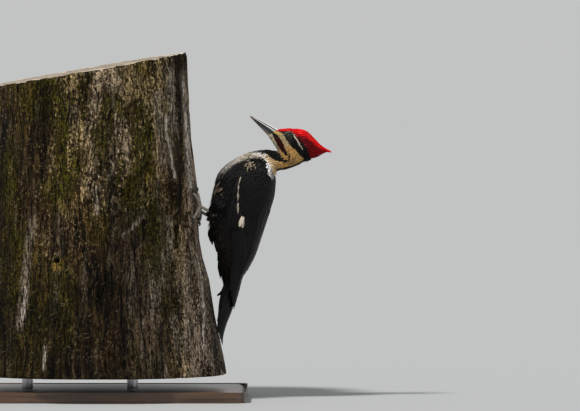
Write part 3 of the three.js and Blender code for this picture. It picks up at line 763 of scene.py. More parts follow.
def make_skin():
    """One skin over the flesh, which lies as deep as the coat over it is thick."""
    copies = []
    for node in FLESH + UNDER_WINGS:
        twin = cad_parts[node].copy()
        twin.data = twin.data.copy()
        twin.parent = None
        SCENE.collection.objects.link(twin)
        apply(twin, "WELD", merge_threshold=0.00002)
        copies.append(twin)
    skin = joined("skin", copies)
    for key in list(skin.keys()):
        del skin[key]
    apply(skin, "REMESH", mode="VOXEL", voxel_size=VOXEL)
    apply(skin, "SMOOTH", factor=0.6, iterations=10)
    # sunk along its normals
    p = points_of(skin)
    out = np.empty(len(p) * 3, np.float32)
    skin.data.vertex_normals.foreach_get("vector", out)
    x, z = p[:, 0] / MM, p[:, 2] / MM
    deep = np.where((x > 300) & (z > 372), HEAD_DEPTH, BODY_DEPTH)
    deep = np.where((x > 366) & (z > 384), CREST_DEPTH, deep) * smooth(408, 392, x)
    deep = deep + BILL_DEPTH * smooth(51, 47, along_bill(x, z)[0])
    p -= out.reshape(-1, 3) * deep[:, None] * MM
    skin.data.vertices.foreach_set("co", p.astype(np.float32).ravel())
    skin.data.update()
    apply(skin, "SMOOTH", factor=0.5, iterations=4)
    p = points_of(skin)
    u, _ = along_bill(p[:, 0] / MM, p[:, 2] / MM)
    colour(skin, "coat", paint(BARE_SKIN, markings(p) * 0.8, smooth(45.5, 44, u)))
    vector(skin, "vane", np.zeros((len(p), 3)))
    choose(skin)
    bpy.ops.object.shade_smooth()
    f = Finish("skin", Roughness=0.6, Specular_IOR_Level=0.3)
    finish = f.use(Base_Color=f.attribute("coat"), Normal=f.bump(f.noise(f.place(), 1500), 0.3, 0.0003))
    return belongs(skin, finish, "plumage", *FLESH)


make_skin()

# ---- Body, neck and head feathers ----------------------------------------------------------------


def near_eye(p):
    return np.hypot(p[..., 0] - EYE[0], p[..., 2] - EYE[2]) + np.where(np.abs(p[..., 1]) < 8, 99, 0)


def on_head(p):
    return (p[..., 0] - 300) * 0.86 + (p[..., 2] - 402) * 0.5 > 4


def under_wing(p, shrink=0.86):
    cx, cz = 284, 300
    x, z = cx + (p[..., 0] - cx) / shrink, cz + (p[..., 2] - cz) / shrink
    return inside(WING_OUTLINE, x, z) & (np.abs(p[..., 1]) > 12)


def kept_off_eye(form, s, a, length, flow, tilt):
    """Feather lengths cut so that no tip lies over the lids."""
    metre_s, metre_a = form.scale(s, a)
    reach = length * MM
    tip = form.at(s + flow * reach * np.cos(tilt) / metre_s, a + reach * np.sin(tilt) / metre_a) / MM
    from_root, from_tip = near_eye(form.at(s, a) / MM), near_eye(tip)
    allowed = np.clip((from_root - LIDS) / np.maximum(from_root - from_tip, 0.01), 0.1, 1)
    return length * np.where((from_tip < LIDS) & (from_root > LIDS), allowed, 1)


def make_face():
    coat = Coat("coat_head")
    back = lambda p: p[..., 0] * 0.8 - p[..., 2] * 0.6  # how far from the bill, along the feathers' way

    def keep(p):
        u, height = along_bill(p[..., 0], p[..., 2])
        bare = np.interp(height, [-9, -6, -3.5, -1, 4, 9], [37, 39, 43, 47.5, 48.5, 47])
        under_crest = (p[..., 0] > 362) & (p[..., 2] > 396)
        return on_head(p) & (near_eye(p) > LIDS + 0.4) & ~under_crest & (u > bare)

    s, a, p = scatter(body, lambda p: np.interp(back(p), [-15, 10, 40], [0.82, 1.02, 1.4]), keep)
    n = len(s)
    length = np.interp(back(p), [-15, 0, 40], [3.4, 5.0, 8.0]) * between(0.85, 1.15, n)
    tilt = stray(0.12, n)
    length = kept_off_eye(body, s, a, length, -1, tilt)
    crown = smooth(326, 338, p[:, 0]) * smooth(427, 433, p[:, 2])
    width, high = length * between(0.17, 0.24, n), between(-0.2, 0.3, n) + 1.1 * crown
    coat.grow(body, s, a, length, width, tilt=tilt, low=-1.0 + 0.6 * crown, high=high, kind=SLIM, camber=0.12,
              thick=0.1, bend=stray(0.05, n))
    return coat.finish(PLUMAGE, "plumage")


def make_nasal_tufts():
    """Stiff buff bristles that lie forward over the nostrils."""
    coat = Coat("nasal_tufts")
    n = 130
    for side in (-1, 1):
        x = between(318.5, 326.5, n)
        z = 430.2 - (x - 319) * 0.78 + between(-1.9, 1.5, n)
        coat.grow(body, *body.find(zip(x, z), side), between(5, 8.5, n), 0.7, flow=1, tilt=stray(0.16, n),
                  low=-0.4, high=between(0.3, 1.0, n), kind=SLIM, thick=0.1, tint=BRISTLE)
    return coat.finish(PLUMAGE, "plumage")


# Lines on the flank along which some feathers have pale tips, and how far from them.
PALE_FLANK = [([(217, 324), (232, 342)], 5), ([(212, 300), (222, 309)], 4.5), ([(211, 288), (220, 295)], 4)]


def make_body():
    keep = lambda p: ~on_head(p) & ~under_wing(p, 0.8)
    s, a, p = scatter(body, lambda p: np.interp(p[..., 2], [200, 260, 350, 395], [2.7, 2.9, 2.7, 2.1]), keep)
    n, (x, _, z) = len(s), p.T
    size = np.interp(z, [180, 250, 350, 395], [17, 14, 11.5, 8.5]) * between(0.85, 1.15, n)
    loose = smooth(262, 232, z) + 0.6 * smooth(222, 213, x)
    high = between(-0.1, 0.25, n) + loose * between(0, 1.0, n)
    high = high - 1.1 * smooth(222, 218, x) * smooth(264, 256, z) * smooth(236, 244, z)
    tilt = stray(0.1 + 0.08 * np.clip(loose, 0, 1.2), n)
    tips = markings(body.at(s, a)) * 1.15
    for line, reach in PALE_FLANK:
        away, _ = to_path(line, x, z)
        pale = smooth(reach, reach * 0.4, away) * (chance.random(n) < 0.5)
        tips = paint(FLANK_TIP, tips, pale * 0.8)
    # in a lower and an upper half, to keep each piece small
    for number, part in enumerate(np.array_split(np.argsort(z), 2)):
        coat = Coat(f"coat_body_{number + 1}")
        coat.grow(body, s[part], a[part], size[part], size[part] * 0.38, tilt=tilt[part], low=-1.5,
                  high=high[part], bend=stray(0.06, len(part)), tips=tips[part], camber=0.05)
        coat.finish(PLUMAGE, "plumage")


# Where each tuft's root is along the belly, its length and its rise.
BELLY_TUFTS = [
    (277, 15, 5.6), (272, 16, 6.2), (267, 14, 6.0), (263, 12, 5.6), (254, 13, 3.0), (248, 13, 3.6),
    (241, 14, 3.2), (236, 14, 4.2), (230, 17, 3.0), (225, 18, 4.2), (221, 25, 4.4), (217, 20, 3.6),
]
FLANK_PLUMES = [
    ((216, 326), (228, 352), 18, 12), ((214, 296), (220, 322), 16, 9), ((221, 333), (233, 343), 12, 10),
]


def make_belly_tufts(coat, side):
    """Pointed feathers that stand away from the middle of the belly."""
    middle = np.linspace(0, 1, 400)
    level = body.at(middle, 0.5 + 0 * middle)[:, 2] / MM
    order = np.argsort(level)
    root, length, rise = np.array(BELLY_TUFTS).T
    n = len(root)
    for offset in (0.008, 0.03):
        high = between(0.3, 1.0, n) + rise - 2.4
        s = np.interp(root + stray(1.5, n), level[order], middle[order])
        a = 0.5 - side * offset + stray(0.004, n)
        coat.grow(body, s, a, length, 4.6, low=-1.5, high=high, kind=POINTED, twist=between(0.9, 1.5, n),
                  splay=0.8, camber=0.05)


def make_flank_plumes(coat, side):
    """Loose pale plumes on the flank, along lines that each have a count and a length."""
    for (x0, z0), (x1, z1), n, long in FLANK_PLUMES:
        t = chance.random(n)
        x, z = x0 + (x1 - x0) * t + stray(2, n), z0 + (z1 - z0) * t + stray(2, n)
        shade = between(0.5, 1.2, n)[:, None] * PLUME
        coat.grow(body, *body.find(zip(x, z), side), long * between(0.6, 1.2, n), between(0.9, 1.8, n),
                  tilt=side * (0.45 + stray(0.2, n)), low=-0.3, high=between(0.5, 1.5, n), kind=SLIM,
                  bend=stray(0.15, n), tint=shade, camber=0.16)


def make_wisps():
    """Loose, hair-like plumes on the flanks, the belly and under the tail."""
    coat = Coat("coat_wisps")
    low_or_front = lambda p: ((p[..., 0] < 262) | (p[..., 2] < 262)) & (p[..., 2] < 392)
    keep = lambda p: ~on_head(p) & ~under_wing(p) & low_or_front(p)
    s, a, p = scatter(body, lambda p: np.interp(p[..., 2], [200, 300, 390], [2.4, 2.7, 4.2]), keep)
    n, (x, _, z) = len(s), p.T
    below_breast = smooth(372, 340, z)
    front = smooth(236, 214, x) * below_breast
    length = np.interp(z, [190, 250, 390], [17, 14, 8]) * between(0.7, 1.2, n)
    ragged = smooth(226, 212, x) * below_breast * (chance.random(n) < 0.35)
    high = between(0.1, 0.9, n) + smooth(275, 215, z) * between(0, 1.2, n) + front * 0.8 + 2.4 * ragged
    pale = front * (chance.random(n) < 0.3) + 0.15 * (chance.random(n) < 0.2)
    tips = paint(WISP_TIP, markings(body.at(s, a)) * 1.3, np.clip(pale, 0, 1))
    coat.grow(body, s, a, length, between(0.7, 1.5, n), tilt=stray(0.2, n), low=-1.2, high=high, kind=SLIM,
              bend=stray(0.12, n), tips=tips, thick=0.1)
    for side in (-1, 1):
        make_belly_tufts(coat, side)
        make_flank_plumes(coat, side)
    return coat.finish(PLUMAGE, "plumage")


def make_crest():
    coat = Coat("coat_crest")
    spacing = lambda p: np.interp(p[..., 0], [340, 380, 405], [1.35, 1.15, 0.7])
    s, a, p = scatter(crest, spacing, lambda p: p[..., 0] > 337)
    n, (x, _, z) = len(s), p.T
    length = np.interp(x, [340, 365, 385, 405], [12, 21, 17, 5]) * between(0.75, 1.1, n)
    black = (z < np.interp(x, *zip(*RED_EDGE))) & (x < 377)
    length = np.where(black, 5.5, np.minimum(length, np.maximum(406.5 - x, 2.5)))
    low_edge = smooth(396, 388, z) * (x < 384)
    upper = np.abs(np.mod(a, 1) - 0.5) * 2  # 1 along the top and 0 underneath
    crease = z - np.interp(x, *zip(*CREST_CREASE)) + stray(0.8, n)
    # scarlet above the crease; painted shade in dark red below it, darker still along the crease and on a few
    # feathers in the gaps between the locks; painted glints on a few light feathers along the top
    under = paint(SCARLET * 0.56, RED_IN_SHADE, smooth(360, 392, x))
    tone = paint(SCARLET, under, smooth(-2.5, 1.5, crease))
    tone = paint(RED_GLINT, tone, 0.5 * (chance.random(n) < 0.10) * smooth(0.4, 0.8, upper))
    tone = paint(RED_IN_SHADE * 0.5, tone, 0.9 * (chance.random(n) < 0.09 * smooth(348, 356, x)))
    shade_in_crease = smooth(2.2, 0.8, np.abs(crease)) * smooth(386, 372, x)
    tone = paint(RED_IN_SHADE * 0.2, tone, 0.9 * (chance.random(n) < 0.6 * shade_in_crease))
    tone = paint(BLACK, tone, black)
    width, tilt = between(1.1, 1.8, n), stray(0.07, n)
    high = np.interp(x, [338, 354], [-0.5, 0.4]) + between(-0.3, 0.3, n) + low_edge * between(0, 1.4, n)
    coat.grow(crest, s, a, length, width, flow=1, tilt=tilt, low=-2.0, high=high, kind=POINTED, camber=0.14,
              bend=stray(0.035, n), tint=tone, tips=tone * 1.15)
    n = 46  # more at the crest's tip
    a = between(0, 1, n)
    coat.grow(crest, between(0.80, 0.93, n), a, between(5, 11, n), 1.2, flow=1, low=-0.8,
              high=between(-0.2, 0.5, n), kind=POINTED, tint=SCARLET, bend=stray(0.05, n))
    return coat.finish(CREST_FEATHER, "crest")


make_face()
make_nasal_tufts()
make_body()
make_wisps()
make_crest()

# ---- Wings ---------------------------------------------------------------------------------------

PRIMARIES, SECONDARIES, TERTIALS = 9, 9, 4
BARB_LENGTH = 130.0  # a quill's length, as its barbs count it
# Place along the wing, length, width, count, and the lift of the roots and of the tips.
COVERT_ROWS = [(0.33, 36, 11, 19, -1.9, -0.2), (0.27, 28, 10, 20, -1.7, -0.05), (0.215, 22, 9, 21, -1.6, 0.1)]
PATCH_FEATHERS = [(260.5, 293.5, 17), (263.4, 295, 19), (266.2, 295, 16), (262.0, 288, 12), (265.4, 287, 12)]


def blade(place, lengths, half_left, half_right, lift, thick=0.35, shaft=0.3, camber=0.5):
    """One long feather as a closed grid. place(share of length, millimetres across, lift) gives points."""
    columns = np.array([-1, -0.7, -0.4, -0.12, 0, 0.12, 0.4, 0.7, 1, 0.6, 0, -0.6])
    top = np.arange(12) < 9
    u, v = np.meshgrid(lengths, columns, indexing="ij")
    half = np.where(v < 0, half_left(u), half_right(u))
    rib = np.where(top & (np.abs(v) < 0.05), shaft * (1.1 - u), 0)
    arch = camber * (1 - v**2)
    height = lift + arch + rib - np.where(top, 0, thick)
    return place(u, v * half, height), u, v, v * half


class Quills:
    """A piece made of long feathers."""

    def __init__(self, name):
        self.name, self.parts = name, []

    def finish(self, slot, *nodes):
        points, faces, vanes, flat, shares = [], [], [], [], []
        total, count = len(self.parts), 0
        for k, (p, u, v, across) in enumerate(self.parts):
            rings, sides = p.shape[:2]
            quads = surface_faces(rings, sides)
            tris = [quads[:, [0, 1, 2]], quads[:, [0, 2, 3]]]
            for start, turn in ((0, 1), ((rings - 1) * sides, -1)):  # both ends
                end = start + np.arange(sides)
                fan = np.stack([np.full(sides - 2, start), end[2:], end[1:-1]], -1)
                tris.append(fan[:, ::turn])
            block, q = np.concatenate(tris), p.reshape(-1, 3)
            if look_inwards(q, block):
                block = block[:, ::-1]
            faces.append(block + count)
            points.append(q)
            count += len(q)
            shares.append(np.abs(v).ravel())
            pick = np.full(u.shape, chance.random())
            vanes.append(np.stack([across, u * BARB_LENGTH, pick], -1).reshape(-1, 3))
            flat.append(np.stack([(k + 0.5 + 0.4 * v) / total, 0.02 + 0.96 * u], -1).reshape(-1, 2))
        piece = mesh_of(self.name, np.concatenate(points), np.concatenate(faces))
        colour(piece, "coat", flight_tone(np.concatenate(shares)))
        vector(piece, "vane", np.concatenate(vanes))
        patches(piece, np.concatenate(flat))
        return belongs(piece, FLIGHT_FEATHER, slot, *nodes)


def flight_tone(across):
    """Sooty vanes with dark shafts and brownish edges."""
    tone = paint(BROWN_BLACK * 1.4, BLACK, smooth(0.4, 1.0, across) * 0.6)
    return paint(BLACK * 0.4, tone, smooth(0.12, 0.02, across))


def sided(side, a):
    """a as it is counted on the left side, for either side of the bird."""
    return a if side < 0 else 1 - a


def wing_blade(side, root, tip, left, right, lift, roof, bow=0.0, rounding=0.12):
    """A flight feather on the folded wing, from root (s, a) to tip (s, a), with a roof-tile slope."""

    def place(u, across, height):
        s = root[0] + (tip[0] - root[0]) * u
        a = root[1] + (tip[1] - root[1]) * u + bow * np.sin(np.pi * u)
        _, metre = wing.scale(s, a)
        return wing.at(s, sided(side, a + across * MM / metre), (height + roof * across) * MM)

    def share(u):
        end = np.sqrt(np.clip(1 - np.clip((u - 1 + rounding) / rounding, 0, 1) ** 2, 0.004, 1))
        return end, 0.55 + 0.45 * smooth(0, 0.15, u)

    closing = 1 - rounding * (1 - np.sin(np.linspace(0.15, np.pi / 2, 8)))
    lengths = np.concatenate([np.linspace(0, 1 - rounding, 18), closing])
    return blade(place, lengths, lambda u: left * share(u)[0] * share(u)[1],
                 lambda u: right * share(u)[0] * share(u)[1], lift)


def make_flight_feathers(side, name):
    quills = Quills(f"wing_{name}_quills")
    for k in range(PRIMARIES):  # the outermost and lowest first
        t = k / (PRIMARIES - 1)
        root = (0.40, 0.715 + 0.022 * t)
        tip = (np.interp(t, [0, 0.5, 1], [0.88, 0.98, 0.84]), np.interp(t, [0, 0.5, 1], [0.755, 0.93, 0.965]))
        lift = -2.2 + 0.2 * k
        quills.parts.append(wing_blade(side, root, tip, 3.4, 6.4, lift, 0.02, bow=-0.05 * t, rounding=0.14))
    for k in range(SECONDARIES):
        t = k / (SECONDARIES - 1)
        root = (0.38, 0.745 + 0.15 * t)
        tip = (np.interp(t, [0, 1], [0.80, 0.815]), 0.79 + 0.15 * t)
        lift = -1.6 + 0.16 * k
        quills.parts.append(wing_blade(side, root, tip, 3.8, 7.0, lift, -0.04, rounding=0.09))
    for k in range(TERTIALS):
        t = k / (TERTIALS - 1)
        root = (0.33, 0.865 + 0.115 * t)
        tip = (0.81 - 0.10 * t, 0.895 + 0.088 * t)
        lift = -0.35 + 0.16 * k + (0.25 if side < 0 else 0)
        quills.parts.append(wing_blade(side, root, tip, 5.4, 7.0, lift, -0.05, rounding=0.13))
    quills.finish("wing", f"wing_{name}_primaries", f"wing_{name}_secondaries")


def grow_coverts(coat, side):
    """The greater and median rows, then the lesser coverts up to the shoulder."""
    for row, (middle, length, wide, n, low, high) in enumerate(COVERT_ROWS):
        a = np.linspace(0.70, 0.985, n) + 0.006 * (row % 2)
        s = middle + 0.02 * np.sin(np.linspace(0, np.pi, n)) + stray(0.003, n)
        coat.grow(wing, s, sided(side, a), length * between(0.95, 1.05, n), wide, flow=1, low=low, high=high,
                  tilt=0.06 * side, camber=0.05, tint=BLACK, tips=np.tile(BLACK * 1.3, (n, 1)), kind=BLUNT)

    def keep(p):
        shoulder = p[..., 2] > 316 - (p[..., 0] - 260) * 0.5
        return inside(WING_OUTLINE, p[..., 0], p[..., 2]) & (p[..., 1] * side > 0.5) & shoulder

    s, a, p = scatter(wing, lambda p: np.interp(p[..., 2], [300, 380], [2.9, 2.0]), keep)
    n, (x, y, z) = len(s), p.T
    size = np.interp(z, [300, 385], [15, 7.5]) * between(0.9, 1.1, n)
    # the shoulder's painted highlight, carried on over these coverts
    pale, sheen = shoulder_sheen(p * MM, x, y, z)
    tone = paint(pale, np.broadcast_to(BLACK, (n, 3)), 0.9 * sheen)
    spot, _ = to_path([(275.4, 380.3), (281.3, 383.6)], x, z)
    tips = paint(SHOULDER_SPOT, tone * 1.3, (spot < 4.5) * (chance.random(n) < 0.4))
    coat.grow(wing, s, a, size, size * 0.42, flow=1, tilt=stray(0.06, n), low=-0.9,
              high=between(0.0, 0.25, n), camber=0.05, tint=tone, tips=tips)


def grow_shoulder(coat, side):
    """Rows that close the wing's front edge over the breast, and loose pale plumes below the shoulder."""
    for start, deep in ((-0.035, -6.5), (-0.02, -3.5), (-0.005, -1.8)):
        a = np.arange(0.52, 1.0, 0.011)
        n = len(a)
        a = a + stray(0.002, n)
        s = between(start - 0.003, start + 0.003, n)
        coat.grow(wing, s, sided(side, a), between(9, 13, n), 3.6, flow=1, low=deep, high=0.3, camber=0.025,
                  tilt=stray(0.08, n))
    n = 24
    x, z = between(271, 287, n), between(372, 386, n)
    turn = chance.normal(0.3, 0.6, n)
    coat.grow(wing, *wing.find(zip(x, z), side), between(4, 9, n), between(0.7, 1.3, n), flow=1,
              tilt=-side * turn, low=-0.6, high=between(0.5, 1.1, n), kind=SLIM, camber=0.1,
              bend=stray(0.2, n), tint=between(0.5, 1.3, (n, 1)) * SHOULDER_PLUME)


def make_white_feathers(side, name):
    """The white line along the wing's edge, and the white patch below it."""
    white = Coat(f"wing_{name}_white_feathers")
    steps = np.concatenate([np.linspace(0, 4.4, 32), np.linspace(5.2, 6.3, 9)])
    edge = spline(WING_EDGE, steps) - [0.4, 0]
    white.grow(wing, *wing.find(edge, side), 9.5, between(0.66, 1.0, len(steps)), flow=1, low=-0.3,
               high=1.0, kind=POINTED, tint=WHITE * 0.95, camber=0.1)
    x, z, length = np.array(PATCH_FEATHERS).T
    white.grow(wing, *wing.find(zip(x, z), side), length, 4.6, flow=1, low=-0.4, high=0.7, tint=WHITE * 0.95,
               camber=0.015, thick=0.1)
    white.finish(PLUMAGE, "wing")


def make_wing(side, name):
    make_flight_feathers(side, name)
    coat = Coat(f"wing_{name}_coverts_coat")
    grow_coverts(coat, side)
    grow_shoulder(coat, side)
    make_white_feathers(side, name)
    coat.finish(PLUMAGE, "wing", f"wing_{name}_coverts")


make_wing(-1, "left")
make_wing(1, "right")

# ---- Tail ----------------------------------------------------------------------------------------

TAIL_RIDGE = [(255, 215), (254, 205), (252.5, 175), (246, 145), (236.6, 120), (231.4, 101), (230, 86)]
# For each pair, the outermost first: share of the full length, half width, degrees round the tail's arch, the
# arch's share of its full depth, and how far the pair lies above the ridge. The last rows are the coverts.
TAIL_PAIRS = [
    (0.56, 6.0, 86, 1, 0), (0.74, 7.2, 67, 1, 0), (0.865, 8.0, 48, 1, 0), (0.955, 8.4, 28, 1, 0),
    (1.0, 8.4, 9, 1, 0), (0.27, 8.0, 72, 0.3, 1.0), (0.32, 8.5, 50, 0.3, 1.5), (0.36, 8.5, 30, 0.3, 2.0),
    (0.39, 8.5, 10, 0.3, 2.5),
]
POST_EDGE = [
    (38.9, 237), (86, 228.6), (134.5, 218.2), (191, 209.4), (228, 198.6), (256, 193.4), (300, 190.8),
    (345, 189.8), (418, 180), (515, 174), (600, 171),
]
POST_LEFT = -172.0
TAIL_CLEAR = 0.45  # between the tail and the trunk
HOOKED = [(241, 196), (235, 181), (229.5, 170.5), (221.8, 165.0)]


def post_edge(z):
    return np.interp(z, *zip(*POST_EDGE))


def post_middle(z):
    return (post_edge(z) + POST_LEFT) / 2


def post_radius(z):
    return (post_edge(z) - POST_LEFT) / 2


def post_face(y, z):
    """x of the trunk's face on the bird's side."""
    return post_middle(z) + np.sqrt(np.maximum(post_radius(z) ** 2 - y**2, 0))


def make_tail():
    quills = Quills("tail_quills")
    for k, (share, half, turn, arched, above) in enumerate(TAIL_PAIRS):
        for side in (-1, 1):

            def place(u, across, height):
                t = u * share
                ridge = spline(TAIL_RIDGE, 1 + t.ravel() * (len(TAIL_RIDGE) - 2))
                x, z = np.moveaxis(ridge.reshape(u.shape + (2,)), -1, 0)
                opened = np.minimum(1, 0.4 + t * 1.3)
                deep = 17 * opened + 6 * smooth(0, 0.2, t) * smooth(0.5, 0.25, t)
                wide = 21 * opened * (1 - 0.3 * t**3)
                angle = math.radians(turn) * (1 - 0.12 * t**2) + across / (10 + 9 * opened)
                x = x + above - deep * arched * (1 - np.cos(angle)) + height * np.cos(angle)
                y = wide * np.sin(angle) + height * np.sin(angle)
                face = post_face(y, z) + TAIL_CLEAR + height + 0.25 * k
                x = 0.5 * (x + face + np.sqrt((x - face) ** 2 + 1.5))  # a smooth larger of the two
                return np.stack([x, side * y, z], -1) * MM

            def edge(u):
                narrow = (1 - 0.62 * smooth(0.66, 1.0, u)) * (0.6 + 0.4 * smooth(0, 0.2, u))
                return half * (narrow * np.clip((1 - u) / 0.03, 0.05, 1) ** 0.5)

            lengths = np.concatenate([np.linspace(0, 0.94, 26), np.linspace(0.955, 1, 7)])
            quills.parts.append(blade(place, lengths, edge, edge, 0.12 * k, thick=0.5, shaft=0.9, camber=0.4))
    for side, low in ((-1, 0.0), (1, 1.6)):  # a pair of hooked feathers that stick out in front

        def place(u, across, height):
            share = np.array([u.ravel(), u.ravel() + 0.02]) * (len(HOOKED) - 1)
            here, ahead = (spline(HOOKED, q).reshape(u.shape + (2,)) for q in share)
            way = unit(ahead - here)
            x, z = here[..., 0] + way[..., 1] * across, here[..., 1] - way[..., 0] * across + low
            return np.stack([x, side * (3.5 + height), z], -1) * MM

        edge = lambda u: 3.4 * (0.6 + 0.4 * smooth(0, 0.3, u)) * np.clip(1 - u, 0.02, 1) ** 0.55
        lengths = np.linspace(0, 1, 24)
        quills.parts.append(blade(place, lengths, edge, edge, 0.0, thick=0.4, shaft=0.3, camber=0.2))
    quills.finish("wing", "tail")


make_tail()

# ---- Bill ----------------------------------------------------------------------------------------

def on_bill(u, height, y):
    """Points from the tip towards the face (u), above the line where the halves meet, and across."""
    cos, sin = math.cos(BILL_FALL), math.sin(BILL_FALL)
    x = BILL_TIP[0] + u * cos + height * sin
    z = BILL_TIP[1] - u * sin + height * cos
    return np.stack([x, np.broadcast_to(y, x.shape), z], -1) * MM


def bill_half(name, profile, top, width, length, tone):
    """One half of the bill. The profile's rows run from the ridge round to the meeting line. Each holds the
    place across and the height, as shares, and the horn's colour there."""
    u = np.concatenate([np.linspace(0.0, 2, 9)[:-1], np.linspace(2, length, 60)])
    k = np.linspace(0, len(profile) - 1, 34)
    rows = spline([row[:2] for row in profile], k)
    across = np.concatenate([rows[:, 0], -rows[::-1, 0][1:-1]])
    height = np.concatenate([rows[:, 1], rows[::-1, 1][1:-1]])
    high, wide = top(u)[:, None], width(u)[:, None]
    blunt = np.sqrt(np.clip(u / 1.2, 0.02, 1))[:, None]  # rounds the tip
    piece = shell(name, on_bill(u[:, None] + 0 * across, height * high * blunt, across * wide * blunt))
    own = np.stack([np.interp(k, range(len(profile)), [row[2][c] for row in profile]) for c in range(3)], -1)
    own = np.concatenate([own, own[::-1][1:-1]])[None] + 0 * u[:, None, None]
    own = tone(own, u[:, None]).reshape(-1, 3)
    colour(piece, "coat", np.concatenate([own, own[[0, -1]]]))
    return piece


def bill_width(u):
    return 1.2 + 5.7 * np.clip(u / 50, 0, 1) ** 0.85


TIP_HORN = np.array([0.13, 0.065, 0.05])
# horn with painted highlights, plain horn, and dark horn deepened with painted shade
HORN_HIGHLIGHT, HORN, DARK_AND_SHADED_HORN = (0.68, 0.66, 0.64), (0.11, 0.11, 0.115), (0.012, 0.011, 0.012)
# Ridge, its flat side, the groove, the ledge that runs from the nostril, the cutting edge and the flat below.
# The ridge, its flat side and the ledge carry painted highlights; the groove, the cutting edge and the flat
# below are dark horn with painted shade.
UPPER_BILL = [
    (0, 1.0, HORN_HIGHLIGHT), (0.15, 0.975, HORN_HIGHLIGHT), (0.33, 0.87, HORN_HIGHLIGHT), (0.45, 0.735, DARK_AND_SHADED_HORN),
    (0.53, 0.615, DARK_AND_SHADED_HORN), (0.64, 0.55, HORN_HIGHLIGHT), (0.79, 0.475, HORN_HIGHLIGHT), (0.90, 0.385, HORN),
    (0.975, 0.27, DARK_AND_SHADED_HORN), (1.0, 0.15, DARK_AND_SHADED_HORN), (0.95, 0.02, DARK_AND_SHADED_HORN), (0.5, 0.02, DARK_AND_SHADED_HORN),
    (0, 0.02, DARK_AND_SHADED_HORN),
]
# In the lower half, the rows near the meeting line are dark horn with painted shade, and the lower rows are
# its own tan and grey.
LOWER_BILL = [
    (0, -1.0, (0.58, 0.43, 0.25)), (0.3, -0.97, (0.56, 0.41, 0.24)), (0.62, -0.80, (0.33, 0.25, 0.17)),
    (0.84, -0.52, (0.075, 0.08, 0.09)), (0.92, -0.2, (0.018, 0.019, 0.021)), (0.9, -0.02, DARK_AND_SHADED_HORN),
    (0.5, -0.02, DARK_AND_SHADED_HORN), (0, -0.02, DARK_AND_SHADED_HORN),
]


def horn_finish():
    f = Finish("horn", Specular_IOR_Level=0.4, Coat_Weight=0.12, Coat_Roughness=0.2)
    axis = {"Vector": f.place(), "Axis": (0, 1, 0), "Angle": BILL_FALL}
    turned = f.node("VectorRotate", axis, rotation_type="AXIS_ANGLE").outputs[0]
    lengthwise = f.node("Mapping", {"Vector": turned, "Scale": (0.12, 1, 1)}).outputs[0]
    streak, broad = f.noise(lengthwise, 2200, 4), f.noise(lengthwise, 420, 3)
    own = f.attribute("coat")
    base = f.blend(f.band(streak, 0.25, 0.65), f.tinted(own, (0.72, 0.72, 0.72)), own)
    base = f.blend(f.band(broad, 0.2, 0.5), f.tinted(base, (0.75, 0.72, 0.68)), base)
    return f.use(Base_Color=base, Roughness=f.line(streak, 0.3, 0.18), Normal=f.bump(streak, 0.12, 0.00025))


def make_bill():
    tip = lambda own, u: paint(TIP_HORN, own, smooth(9, 1, u + 0 * own[..., 0]) * 0.85)
    below = lambda own, u: tip(own * (0.45 + 0.55 * smooth(20, 31, u))[..., None], u)
    ridge = lambda u: np.interp(u, [0, 4, 10, 18, 27, 37, 47, 57], [1.3, 2.4, 3.9, 5.6, 7.2, 8.6, 9.7, 10.2])
    sunk = lambda u: 1 - 0.5 * smooth(43, 52, u)
    keel = lambda u: np.minimum(8, 0.6 + 0.166 * u) * sunk(u)
    slim = lambda u: bill_width(u) * 0.93 * sunk(u)
    top = bill_half("bill_upper_horn", UPPER_BILL, ridge, bill_width, BILL_LENGTH, tip)
    under = bill_half("bill_lower_horn", LOWER_BILL, keel, slim, BILL_LENGTH - 3, below)
    finish = horn_finish()
    belongs(top, finish, "bill", "bill_upper")
    belongs(under, finish, "bill", "bill_lower")


make_bill()

# ---- Eyes ----------------------------------------------------------------------------------------


def eye_finish():
    f = Finish("eye", Roughness=0.1, Specular_IOR_Level=0.15, Coat_Weight=0.25, Coat_Roughness=0.02)
    x, _, z = f.node("SeparateXYZ", {0: f.place()}).outputs
    dx, dz = f.less(x, EYE[0] * MM), f.less(z, EYE[2] * MM)
    far = f.far(dx, dz)
    flecks = f.noise(f.place((1, 0.2, 1)), 2600, 3)
    # a dim olive-brown iris: a yellow iris darkened with painted shade
    shaded_iris = f.blend(f.band(flecks, 0.3, 0.7), (0.040, 0.030, 0.009), (0.125, 0.092, 0.022))
    shaded_iris = f.blend(f.band(far, 0.0028, 0.0034), shaded_iris, (0.018, 0.013, 0.006))
    base = f.blend(f.band(far, 0.0021, 0.0023), (0.0015, 0.0015, 0.0015), shaded_iris)
    return f.use(Base_Color=f.blend(f.band(far, 0.0034, 0.0036), base, (0.006, 0.006, 0.006)))


def lid_finish():
    f = Finish("eyelid", Roughness=0.55, Specular_IOR_Level=0.3)
    folds = f.noise(f.place(), 1400, 3)
    tone = f.blend(f.band(folds, 0.3, 0.7), (0.004, 0.0045, 0.0045), (0.020, 0.021, 0.018))
    return f.use(Base_Color=tone, Normal=f.bump(folds, 0.5, 0.0004))


